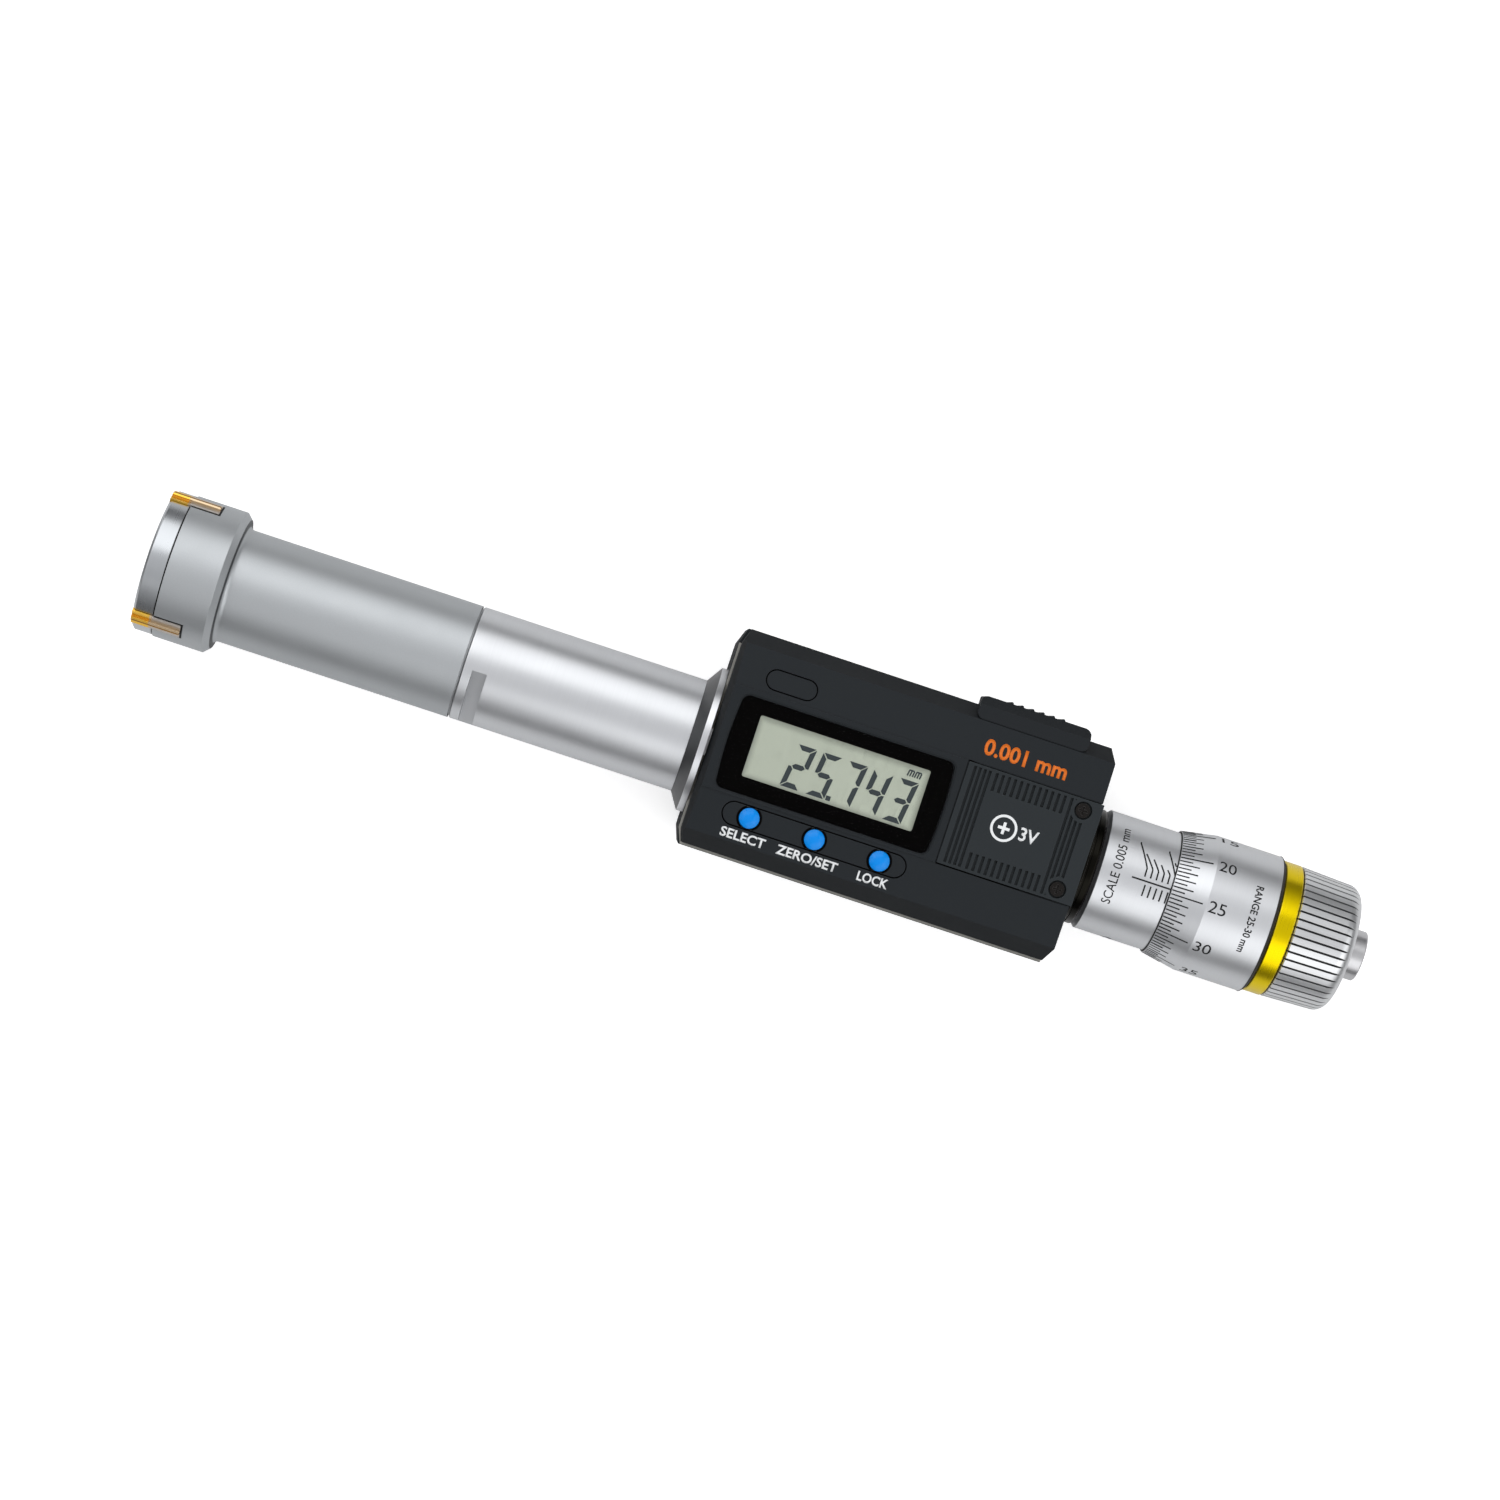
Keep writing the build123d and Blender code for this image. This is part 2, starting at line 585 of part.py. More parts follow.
def push_rod():
    """Makes the rod that carries the cone, with the shoulder for its return spring."""
    shoulder_x = FRONT_BUSH_X + FRONT_BUSH_LENGTH + SPRING_LENGTH
    return turned(
        (CONE_REAR_X - ROD_NOSE_LENGTH, 0),
        (ROD_REAR_X, 0),
        (ROD_REAR_X, ROD_RADIUS),
        (shoulder_x + ROD_SHOULDER_LENGTH, ROD_RADIUS),
        (shoulder_x + ROD_SHOULDER_LENGTH, ROD_SHOULDER_RADIUS),
        (shoulder_x, ROD_SHOULDER_RADIUS),
        (shoulder_x, ROD_RADIUS),
        (CONE_REAR_X, ROD_RADIUS),
        (CONE_REAR_X, ROD_NOSE_RADIUS),
        (CONE_REAR_X - ROD_NOSE_LENGTH, ROD_NOSE_RADIUS),
    )


def rod_spring():
    """Makes the spring that brings the rod back."""
    start = FRONT_BUSH_X + FRONT_BUSH_LENGTH
    return coil(start, SPRING_LENGTH, SPRING_RADIUS, SPRING_WIRE_RADIUS, SPRING_TURNS)


def thrust_ball():
    """Makes the ball between the turning spindle and the rod."""
    return Pos(SPINDLE_NOSE_X - BALL_RADIUS, 0, 0) * Sphere(BALL_RADIUS)


def front_bush():
    """Makes the front guide of the push rod."""
    end = FRONT_BUSH_X + FRONT_BUSH_LENGTH
    return tube(FRONT_BUSH_X, end, TUBE_BORE_RADIUS - SEAT_GAP, ROD_RADIUS + RUNNING_FIT)


def rear_bush():
    """Makes the rear guide of the push rod, against the end of the main frame."""
    end = COLLAR_X - FRAME_SPIGOT
    return tube(end - REAR_BUSH_LENGTH, end, EXTENSION_BORE_RADIUS - SEAT_GAP, ROD_RADIUS + RUNNING_FIT)


def extension_tube():
    """Makes the middle tube with its spigot and spanner flats."""
    seat_x = COLLAR_X - FRAME_SPIGOT
    body = turned(
        (JOINT_X - SPIGOT_LENGTH, EXTENSION_BORE_RADIUS),
        (seat_x, EXTENSION_BORE_RADIUS),
        (seat_x, FRAME_LEFT_RADIUS + SEAT_GAP),
        (COLLAR_X, FRAME_LEFT_RADIUS + SEAT_GAP),
        (COLLAR_X, EXTENSION_RADIUS),
        (JOINT_X + EDGE_BREAK, EXTENSION_RADIUS),
        (JOINT_X, EXTENSION_RADIUS - EDGE_BREAK),
        (JOINT_X, SPIGOT_RADIUS),
        (JOINT_X - SPIGOT_LENGTH, SPIGOT_RADIUS),
    )
    start = JOINT_X + FLAT_SETBACK
    half = EXTENSION_RADIUS + 1
    for angle in (FLAT_ANGLE, FLAT_ANGLE + 180):
        off = block((start, start + FLAT_LENGTH), (-half, half), (FLAT_HALF_WIDTH, half))
        body -= leaned(off, angle)
    return body


def collar():
    """Makes the cone collar between the extension tube and the housing."""
    return turned(
        (COLLAR_X, FRAME_LEFT_RADIUS + SEAT_GAP),
        (HOUSING_LEFT_X, FRAME_LEFT_RADIUS + SEAT_GAP),
        (HOUSING_LEFT_X, COLLAR_RIM_RADIUS),
        (RIM_X, COLLAR_RIM_RADIUS),
        (COLLAR_X, EXTENSION_RADIUS),
    )


def main_frame():
    """Makes the tube through the housing, with the chamber for the encoder."""
    room = CHAMBER_HALF_LENGTH - CHAMBER_WALL
    room_radius = CHAMBER_RADIUS - CHAMBER_WALL
    frame = turned(
        (COLLAR_X - FRAME_SPIGOT, FRAME_BORE_RADIUS),
        (-room, FRAME_BORE_RADIUS),
        (-room, room_radius),
        (room, room_radius),
        (room, FRAME_BORE_RADIUS),
        (INNER_SLEEVE_START_X, FRAME_BORE_RADIUS),
        (INNER_SLEEVE_START_X, RIGHT_SPIGOT_RADIUS + SEAT_GAP),
        (SLEEVE_X, RIGHT_SPIGOT_RADIUS + SEAT_GAP),
        (SLEEVE_X, FRAME_RIGHT_RADIUS),
        (CHAMBER_HALF_LENGTH, FRAME_RIGHT_RADIUS),
        (CHAMBER_HALF_LENGTH, CHAMBER_RADIUS),
        (-CHAMBER_HALF_LENGTH, CHAMBER_RADIUS),
        (-CHAMBER_HALF_LENGTH, FRAME_LEFT_RADIUS),
        (COLLAR_X - FRAME_SPIGOT, FRAME_LEFT_RADIUS),
    )
    mouth = block((-room, room), (-room_radius, room_radius), (CHAMBER_MOUTH_Z, CHAMBER_RADIUS + 1))
    return frame - mouth


def encoder_stator():
    """Makes the fixed disc of the encoder."""
    start = CHAMBER_WALL - CHAMBER_HALF_LENGTH
    radius = CHAMBER_RADIUS - CHAMBER_WALL - RUNNING_FIT
    return tube(start, start + STATOR_THICKNESS, radius, THREAD_RADIUS)


def encoder_rotor():
    """Makes the turning disc of the encoder, with the key that follows the spindle."""
    start = CHAMBER_WALL - CHAMBER_HALF_LENGTH + STATOR_THICKNESS + ENCODER_GAP
    end = CHAMBER_HALF_LENGTH - CHAMBER_WALL - END_GAP
    radius = CHAMBER_RADIUS - CHAMBER_WALL - ENCODER_GAP
    bore = SPINDLE_RADIUS + RUNNING_FIT
    rotor = turned(
        (start, bore),
        (end, bore),
        (end, ROTOR_HUB_RADIUS),
        (start + ROTOR_THICKNESS, ROTOR_HUB_RADIUS),
        (start + ROTOR_THICKNESS, radius),
        (start, radius),
    )
    half = KEY_WIDTH / 2
    key_foot = SPINDLE_RADIUS - KEY_DEPTH
    return rotor + block((start + ROTOR_THICKNESS, end), (-half, half), (key_foot, bore + half))


def spindle():
    """Makes the spindle: plain nose with a keyway, thread, shoulder and stub."""
    wall_x = THIMBLE_REAR_X - THIMBLE_WALL
    stub_x = COLOUR_RING_X + COLOUR_RING_LENGTH
    body = turned(
        (SPINDLE_NOSE_X, 0),
        (wall_x, 0),
        (wall_x, RATCHET_SCREW_RADIUS),
        (stub_x, RATCHET_SCREW_RADIUS),
        (stub_x, SPINDLE_STUB_RADIUS),
        (wall_x, SPINDLE_STUB_RADIUS),
        (wall_x, SPINDLE_SHOULDER_RADIUS),
        (wall_x - SPINDLE_SHOULDER_LENGTH, SPINDLE_SHOULDER_RADIUS),
        (wall_x - SPINDLE_SHOULDER_LENGTH, THREAD_RADIUS),
        (THREAD_START_X, THREAD_RADIUS),
        (THREAD_START_X, SPINDLE_RADIUS),
        (SPINDLE_NOSE_X, SPINDLE_RADIUS),
    )
    half = KEY_WIDTH / 2 + RUNNING_FIT
    floor = SPINDLE_RADIUS - KEY_DEPTH - RUNNING_FIT
    slot_end = CHAMBER_HALF_LENGTH + FORWARD_TRAVEL
    return body - block((SPINDLE_NOSE_X - 1, slot_end), (-half, half), (floor, SPINDLE_RADIUS + 1))


def inner_sleeve():
    """Makes the fixed sleeve that holds the spindle nut."""
    relief_x = THREAD_START_X - FORWARD_TRAVEL - END_GAP
    plain_bore = SPINDLE_RADIUS + RUNNING_FIT
    nut_bore = THREAD_RADIUS + RUNNING_FIT
    nut_seat_x = taper_nut_start()
    return turned(
        (INNER_SLEEVE_START_X, plain_bore),
        (relief_x, plain_bore),
        (relief_x, nut_bore + END_GAP),
        (NUT_START_X, nut_bore + END_GAP),
        (NUT_START_X, nut_bore),
        (INNER_SLEEVE_END_X, nut_bore),
        (INNER_SLEEVE_END_X, NUT_END_RADIUS),
        (nut_seat_x, NUT_END_RADIUS),
        (nut_seat_x, INNER_SLEEVE_RADIUS),
        (SLEEVE_X, INNER_SLEEVE_RADIUS),
        (SLEEVE_X, RIGHT_SPIGOT_RADIUS),
        (INNER_SLEEVE_START_X, RIGHT_SPIGOT_RADIUS),
    )


def taper_nut_start():
    """Gives where the adjusting nut begins, which leaves the end of the inner sleeve free."""
    return INNER_SLEEVE_END_X - TAPER_NUT_LENGTH - 2 * END_GAP


def taper_nut():
    """Makes the nut that adjusts the play of the spindle thread."""
    start = taper_nut_start()
    end = start + TAPER_NUT_LENGTH
    bore = NUT_END_RADIUS + SEAT_GAP
    outer = INNER_SLEEVE_RADIUS - SEAT_GAP
    return turned((start, bore), (end, bore), (end, outer - END_GAP), (start, outer))


def seal_ring():
    """Makes the black ring between the housing and the graduated sleeve."""
    ring = tube(HOUSING_RIGHT_X, SLEEVE_X, SEAL_RING_RADIUS, FRAME_RIGHT_RADIUS + SEAT_GAP)
    rims = ring.edges().filter_by(GeomType.CIRCLE).group_by(SortBy.RADIUS)[-1]
    ring = fillet(rims, SEAL_RING_ROUND)
    start = (HOUSING_RIGHT_X + SLEEVE_X - SEAL_RING_GROOVE) / 2
    floor = SEAL_RING_RADIUS - SEAL_RING_STEP
    return ring - tube(start, start + SEAL_RING_GROOVE, SEAL_RING_RADIUS + 1, floor)


def sleeve():
    """Makes the graduated sleeve with the hole for its hook spanner."""
    bore = INNER_SLEEVE_RADIUS + SEAT_GAP
    end = SLEEVE_X + SLEEVE_LENGTH
    body = turned(
        (SLEEVE_X, bore),
        (end, bore),
        (end, SLEEVE_RADIUS),
        (SLEEVE_X + SLEEVE_CHAMFER, SLEEVE_RADIUS),
        (SLEEVE_X, SLEEVE_RADIUS - SLEEVE_CHAMFER),
    )
    depth = (SLEEVE_RADIUS - SPANNER_HOLE_DEPTH, SLEEVE_RADIUS + 1)
    hole = pillar(SLEEVE_X + SPANNER_HOLE_SETBACK, 0, depth, SPANNER_HOLE_RADIUS)
    return body - leaned(hole, SPANNER_HOLE_ANGLE)


def thimble():
    """Makes the thimble with its bevelled edge, end wall and neck."""
    wall_x = THIMBLE_REAR_X - THIMBLE_WALL
    neck_end = COLOUR_RING_X + COLOUR_RING_LENGTH
    bore = SLEEVE_RADIUS + THIMBLE_CLEARANCE
    return turned(
        (THIMBLE_X, bore),
        (wall_x, bore),
        (wall_x, SPINDLE_STUB_RADIUS + SEAT_GAP),
        (neck_end, SPINDLE_STUB_RADIUS + SEAT_GAP),
        (neck_end, THIMBLE_NECK_RADIUS),
        (THIMBLE_REAR_X, THIMBLE_NECK_RADIUS),
        (THIMBLE_REAR_X, THIMBLE_RADIUS - EDGE_BREAK),
        (THIMBLE_REAR_X - EDGE_BREAK, THIMBLE_RADIUS),
        (THIMBLE_X + THIMBLE_TAPER_LENGTH, THIMBLE_RADIUS),
        (THIMBLE_X, THIMBLE_EDGE_RADIUS),
    )


def colour_ring():
    """Makes the coloured ring on the neck of the thimble."""
    end = COLOUR_RING_X + COLOUR_RING_LENGTH
    bore = THIMBLE_NECK_RADIUS + SEAT_GAP
    return turned(
        (COLOUR_RING_X, bore),
        (end, bore),
        (end, COLOUR_RING_RADIUS - EDGE_BREAK),
        (end - EDGE_BREAK, COLOUR_RING_RADIUS),
        (COLOUR_RING_X + EDGE_BREAK, COLOUR_RING_RADIUS),
        (COLOUR_RING_X, COLOUR_RING_RADIUS - EDGE_BREAK),
    )


def ratchet_knob():
    """Makes the hollow knob with straight ribs round it."""
    seat_x = KNOB_END_X - STUB_SEAT_DEPTH - RUNNING_FIT
    hollow_x = KNOB_X + KNOB_HOLLOW_DEPTH
    knob = turned(
        (KNOB_X, KNOB_HOLLOW_RADIUS),
        (hollow_x, KNOB_HOLLOW_RADIUS),
        (hollow_x, RATCHET_SCREW_RADIUS + RUNNING_FIT),
        (seat_x, RATCHET_SCREW_RADIUS + RUNNING_FIT),
        (seat_x, STUB_RADIUS + SLIDING_GAP),
        (KNOB_END_X, STUB_RADIUS + SLIDING_GAP),
        (KNOB_END_X, KNOB_REAR_RADIUS),
        (KNOB_X + EDGE_BREAK, KNOB_FRONT_RADIUS),
        (KNOB_X, KNOB_FRONT_RADIUS - EDGE_BREAK),
    )
    rear_rim = knob.edges().filter_by(GeomType.CIRCLE).group_by(Axis.X)[-1].sort_by(SortBy.RADIUS)[-1]
    knob = fillet(rear_rim, KNOB_ROUND)
    slope = math.degrees(math.atan2(KNOB_FRONT_RADIUS - KNOB_REAR_RADIUS, KNOB_LENGTH))
    half = RIB_GROOVE_WIDTH / 2
    outline = ((-half, RIB_GROOVE_DEPTH), (half, RIB_GROOVE_DEPTH), (0, -RIB_GROOVE_DEPTH))
    groove = Rot(Y=slope) * along_x(outline, (-1, KNOB_LENGTH + 1))
    groove = Pos(KNOB_X, 0, KNOB_FRONT_RADIUS) * groove
    return knob - [leaned(groove, 360 * index / RIB_COUNT) for index in range(RIB_COUNT)]


def ratchet_screw():
    """Makes the screw that holds the ratchet, with the round stub of its head."""
    head_x = KNOB_END_X - STUB_SEAT_DEPTH
    end = KNOB_END_X + STUB_LENGTH
    shank_radius = RATCHET_SCREW_RADIUS - SEAT_GAP
    return turned(
        (THIMBLE_REAR_X - THIMBLE_WALL, 0),
        (end, 0),
        (end, STUB_RADIUS - EDGE_BREAK),
        (end - EDGE_BREAK, STUB_RADIUS),
        (head_x, STUB_RADIUS),
        (head_x, shank_radius),
        (THIMBLE_REAR_X - THIMBLE_WALL, shank_radius),
    )


def toothed_disc(start, thickness, outer, inner, facing):
    """Makes a disc with saw teeth on its rear face (facing 1) or its front face (facing -1)."""
    face_x = start + thickness if facing > 0 else start
    pitch = 2 * math.pi * outer / RATCHET_TEETH
    floor_x = face_x - facing * TOOTH_DEPTH
    beyond_x = face_x + facing * TOOTH_DEPTH
    outline = ((floor_x, 0), (face_x, pitch / 2), (beyond_x, pitch / 2), (beyond_x, 0))
    face = make_face(Polyline(*outline, close=True))
    notch = Pos(0, 0, inner - 1) * extrude(face, outer - inner + 2)
    disc = tube(start, start + thickness, outer, inner)
    return disc - [leaned(notch, 360 * index / RATCHET_TEETH) for index in range(RATCHET_TEETH)]


def ratchet_plate_start():
    """Gives where the fixed ratchet plate sits, on the end of the thimble's neck."""
    return COLOUR_RING_X + COLOUR_RING_LENGTH


def pawl_start():
    """Gives where the turning ratchet ring begins, clear of the fixed teeth."""
    return ratchet_plate_start() + RATCHET_PLATE_THICKNESS + TOOTH_GAP


def ratchet_plate():
    """Makes the toothed plate that turns with the thimble."""
    start = ratchet_plate_start()
    return toothed_disc(start, RATCHET_PLATE_THICKNESS, RATCHET_PLATE_RADIUS, RATCHET_SCREW_RADIUS, 1)


def ratchet_ring():
    """Makes the toothed ring that turns with the knob."""
    outer = KNOB_HOLLOW_RADIUS - SEAT_GAP
    inner = RATCHET_SCREW_RADIUS + 2 * END_GAP
    return toothed_disc(pawl_start(), RATCHET_PLATE_THICKNESS, outer, inner, -1)


def ratchet_spring():
    """Makes the spring that presses the toothed ring forward."""
    start = pawl_start() + RATCHET_PLATE_THICKNESS
    length = KNOB_X + KNOB_HOLLOW_DEPTH - start
    return coil(start, length, RATCHET_SPRING_RADIUS, RATCHET_SPRING_WIRE, RATCHET_SPRING_TURNS)


def plan_outline(left_x, bottom_y):
    """Gives the housing's outline seen from the display side, with its cut corners."""
    right_x = HOUSING_RIGHT_X
    low = bottom_y + CORNER_ACROSS
    high = HOUSING_TOP_Y - CORNER_ACROSS
    return (
        (left_x + CORNER_ALONG, bottom_y),
        (right_x - CORNER_ALONG, bottom_y),
        (right_x, low),
        (right_x, high),
        (right_x - CORNER_ALONG, HOUSING_TOP_Y),
        (left_x + CORNER_ALONG, HOUSING_TOP_Y),
        (left_x, high),
        (left_x, low),
    )


def housing_shell(section, left_x, bottom_y, z_range):
    """Makes one hollow half of the housing from its section, cut off at the parting plane."""
    length = HOUSING_RIGHT_X - left_x
    face = make_face(Polyline(*section, close=True))
    hollow = offset(face, -HOUSING_WALL, kind=Kind.INTERSECTION)
    outer = Pos(left_x, 0, 0) * extrude(Plane.YZ * face, length)
    inner = Pos(left_x + HOUSING_WALL, 0, 0) * extrude(Plane.YZ * hollow, length - 2 * HOUSING_WALL)
    plan = make_face(Polyline(*plan_outline(left_x, bottom_y), close=True))
    low, high = z_range
    keep = Pos(0, 0, low) * extrude(plan, high - low)
    return (outer & keep) - inner


def front_section():
    """Gives the front cover's section, carried on below the parting plane."""
    low = PARTING_Z - 2 * HOUSING_WALL
    return (
        (HOUSING_TOP_Y, low),
        (HOUSING_TOP_Y, SHOULDER_Z),
        (PANEL_TOP_Y, PANEL_Z),
        (BAND_TOP_Y, BAND_EDGE_Z),
        (BAND_TOP_Y, FRONT_Z),
        (BAND_BOTTOM_Y, FRONT_Z),
        (BAND_BOTTOM_Y, BAND_EDGE_Z),
        (PANEL_BOTTOM_Y, PANEL_Z),
        (FRONT_BOTTOM_Y, SHOULDER_Z),
        (FRONT_BOTTOM_Y, low),
    )


def rear_section():
    """Gives the rear cover's section, carried on above the parting plane."""
    high = PARTING_Z + 2 * HOUSING_WALL
    return (
        (HOUSING_TOP_Y, high),
        (HOUSING_TOP_Y, BACK_SHOULDER_Z),
        (BACK_TOP_Y, BACK_Z),
        (BACK_BOTTOM_Y, BACK_Z),
        (REAR_BOTTOM_Y, BACK_SHOULDER_Z),
        (REAR_BOTTOM_Y, high),
    )


def panel_plane(x, y):
    """Gives the plane on the sloped lower or upper panel at a place."""
    if y < 0:
        run = BAND_BOTTOM_Y - PANEL_BOTTOM_Y
        away = BAND_BOTTOM_Y - y
        side = -1
    else:
        run = PANEL_TOP_Y - BAND_TOP_Y
        away = y - BAND_TOP_Y
        side = 1
    drop = BAND_EDGE_Z - PANEL_Z
    return Plane(
        origin=(x, y, BAND_EDGE_Z - drop * away / run),
        x_dir=(1, 0, 0),
        z_dir=(0, side * drop, run),
    )


def stadium_groove(left, right, y, half_height):
    """Makes the fine groove round a long oval field on a sloped panel."""
    plane = panel_plane((left + right) / 2, y)
    outer = SlotOverall(right - left, 2 * half_height)
    inner = SlotOverall(right - left - 2 * GROOVE_WIDTH, 2 * (half_height - GROOVE_WIDTH))
    return extrude(plane * (outer - inner), GROOVE_DEPTH, both=True)


def window_plate(gap, z_range):
    """Makes the plate of the display window with its bowed ends, or the recess for it."""
    left = WINDOW_LEFT_X - gap
    right = WINDOW_RIGHT_X + gap
    bottom = WINDOW_BOTTOM_Y - gap
    top = WINDOW_TOP_Y + gap
    middle = (bottom + top) / 2
    rim = Line((left, bottom), (right, bottom))
    rim += ThreePointArc((right, bottom), (right + WINDOW_BOW, middle), (right, top))
    rim += Line((right, top), (left, top))
    rim += ThreePointArc((left, top), (left - WINDOW_BOW, middle), (left, bottom))
    face = make_face(rim)
    face = fillet(face.vertices(), WINDOW_ROUND + gap)
    low, high = z_range
    return Pos(0, 0, low) * extrude(face, high - low)


def battery_cover_space(gap, top):
    """Makes the space of the battery cover, less a gap on its three inner edges."""
    return block(
        (COVER_LEFT_X + gap, top),
        (BAND_BOTTOM_Y + gap, BAND_TOP_Y - gap),
        (POCKET_Z, FRONT_Z),
    )


def front_bosses():
    """Makes the screw bosses, board pillars and battery well inside the front cover."""
    top = CEILING_Z + RUNNING_FIT
    bosses = [
        pillar(x, y, (PARTING_Z, top - HOUSING_WALL / 2), CASE_SCREW_RADIUS + BOSS_WALL)
        for x, y in CASE_SCREW_PLACES
    ]
    bosses += [
        pillar(x, y, (POCKET_Z - COVER_SCREW_LENGTH, POCKET_Z), COVER_SCREW_RADIUS + BOSS_WALL)
        for x, y in COVER_SCREW_PLACES
    ]
    bosses += [
        pillar(x, y, (BOARD_TOP_Z, CEILING_Z), BOARD_PILLAR_RADIUS)
        for x, y in board_pillar_places()
    ]
    well_radius = BATTERY_RADIUS + WELL_GAP + WELL_WALL
    bosses.append(pillar(BATTERY_X, BATTERY_Y, (BATTERY_BOTTOM_Z, POCKET_Z), well_radius))
    return bosses


def board_pillar_places():
    """Gives where the circuit board meets the front cover."""
    inset = BOARD_PILLAR_RADIUS + END_GAP
    return [(x, BOARD_TOP_Y - inset) for x in (BOARD_LEFT_X + inset, BOARD_RIGHT_X - inset)]


def left_facet():
    """Makes the wedge that is cut off the front cover's left edge."""
    outline = (
        (FRONT_LEFT_X - 1, FRONT_Z + 1),
        (FRONT_LEFT_X + FACET_WIDTH, FRONT_Z + 1),
        (FRONT_LEFT_X + FACET_WIDTH, FRONT_Z),
        (FRONT_LEFT_X, FRONT_Z - FACET_DEPTH),
        (FRONT_LEFT_X - 1, FRONT_Z - FACET_DEPTH),
    )
    side = Plane.XZ * make_face(Polyline(*outline, close=True))
    return extrude(side, HOUSING_TOP_Y + 1, both=True)


def front_cover():
    """Makes the front cover of the housing."""
    cover = housing_shell(front_section(), FRONT_LEFT_X, FRONT_BOTTOM_Y, (PARTING_Z, FRONT_Z + 1))
    cover -= left_facet()
    for boss in front_bosses():
        cover += boss
    cover -= window_plate(RUNNING_FIT, (PANE_TOP_Z, FRONT_Z + 1))
    cover -= window_plate(WINDOW_LIP, (FRONT_Z - WINDOW_SUNK, FRONT_Z + 1))
    cover -= pane_block(RUNNING_FIT, (CEILING_Z - HOUSING_WALL, PANE_TOP_Z + 1))
    cover -= battery_cover_space(0, HOUSING_RIGHT_X + 1)
    cover -= pillar(BATTERY_X, BATTERY_Y, (BATTERY_BOTTOM_Z - 1, FRONT_Z), BATTERY_RADIUS + WELL_GAP)
    cover -= seal_cord(SEAT_GAP)
    for x in BUTTON_XS:
        cover -= pillar(x, BUTTON_Y, (CEILING_Z - HOUSING_WALL, FRONT_Z + 1), BUTTON_RADIUS + BUTTON_GAP)
    cover -= stadium_groove(GROOVE_LEFT_X, GROOVE_RIGHT_X, BUTTON_Y, GROOVE_HALF_HEIGHT)
    cover -= stadium_groove(BLANK_LEFT_X, BLANK_RIGHT_X, BLANK_Y, BLANK_HALF_HEIGHT)
    for x, y in COVER_SCREW_PLACES:
        hole_bottom = FRONT_Z - COVER_SCREW_LENGTH - COVER_SCREW_SUNK
        cover -= pillar(x, y, (hole_bottom, FRONT_Z), COVER_SCREW_RADIUS)
    for x, y in CASE_SCREW_PLACES:
        cover -= pillar(x, y, (PARTING_Z - 1, case_screw_top() + END_GAP), CASE_SCREW_RADIUS)
    cover -= rod(HOUSING_LEFT_X - 1, 0, FRAME_LEFT_RADIUS + SEAT_GAP)
    return cover - rod(0, HOUSING_RIGHT_X + 1, FRAME_RIGHT_RADIUS + SEAT_GAP)


def case_screw_top():
    """Gives how high the tips of the rear screws reach."""
    return BACK_Z + CASE_SCREW_RECESS - CASE_SCREW_HEAD_HEIGHT + CASE_SCREW_LENGTH


def rear_cover():
    """Makes the rear cover of the housing, with the opening for the data socket."""
    cover = housing_shell(rear_section(), HOUSING_LEFT_X, REAR_BOTTOM_Y, (BACK_Z - 1, PARTING_Z))
    for x, y in CASE_SCREW_PLACES:
        cover += pillar(x, y, (BACK_Z + HOUSING_WALL / 2, PARTING_Z), CASE_SCREW_RADIUS + 1.5 * BOSS_WALL)
    for x, y in CASE_SCREW_PLACES:
        cover -= pillar(x, y, (BACK_Z - 1, PARTING_Z + 1), CASE_SCREW_RADIUS + SEAT_GAP)
        cover -= pillar(x, y, (BACK_Z - 1, BACK_Z + CASE_SCREW_RECESS), CASE_SCREW_HEAD_RADIUS + SEAT_GAP)
    cover -= socket_space(HOUSING_TOP_Y + 1)
    cover -= gasket_ring(SEAT_GAP)
    cover -= rod(HOUSING_LEFT_X - 1, 0, FRAME_LEFT_RADIUS + SEAT_GAP)
    return cover - rod(0, HOUSING_RIGHT_X + 1, FRAME_RIGHT_RADIUS + SEAT_GAP)


def gasket_ring(gap):
    """Makes the gasket between the covers, or the groove for it."""
    plan = make_face(Polyline(*plan_outline(FRONT_LEFT_X, FRONT_BOTTOM_Y), close=True))
    middle = -HOUSING_WALL / 2
    outer = offset(plan, middle + GASKET_WIDTH / 2 + gap, kind=Kind.INTERSECTION)
    inner = offset(plan, middle - GASKET_WIDTH / 2 - gap, kind=Kind.INTERSECTION)
    return Pos(0, 0, PARTING_Z - GASKET_THICKNESS) * extrude(outer - inner, GASKET_THICKNESS)


def housing_gasket():
    """Makes the gasket, open where the frame tube passes."""
    ring = gasket_ring(0)
    ring -= rod(HOUSING_LEFT_X, 0, FRAME_LEFT_RADIUS + END_GAP)
    return ring - rod(0, HOUSING_RIGHT_X, FRAME_RIGHT_RADIUS + END_GAP)


def case_screws():
    """Makes the four screws that hold the rear cover."""
    one = screw(
        CASE_SCREW_HEAD_RADIUS,
        CASE_SCREW_HEAD_HEIGHT,
        CASE_SCREW_RADIUS - SEAT_GAP,
        CASE_SCREW_LENGTH,
        CASE_SCREW_CROSS,
    )
    upside = Rot(X=180) * one
    top_z = BACK_Z + CASE_SCREW_RECESS - CASE_SCREW_HEAD_HEIGHT
    return Compound([Pos(x, y, top_z) * upside for x, y in CASE_SCREW_PLACES])


def display_window():
    """Makes the clear window with its printed border."""
    return window_plate(0, (PANE_TOP_Z, FRONT_Z - WINDOW_SUNK))


def pane_block(gap, z_range):
    """Makes the display panel's block, or the opening for it."""
    return block(
        (PANE_LEFT_X - gap, PANE_RIGHT_X + gap),
        (PANE_BOTTOM_Y - gap, PANE_TOP_Y + gap),
        z_range,
    )


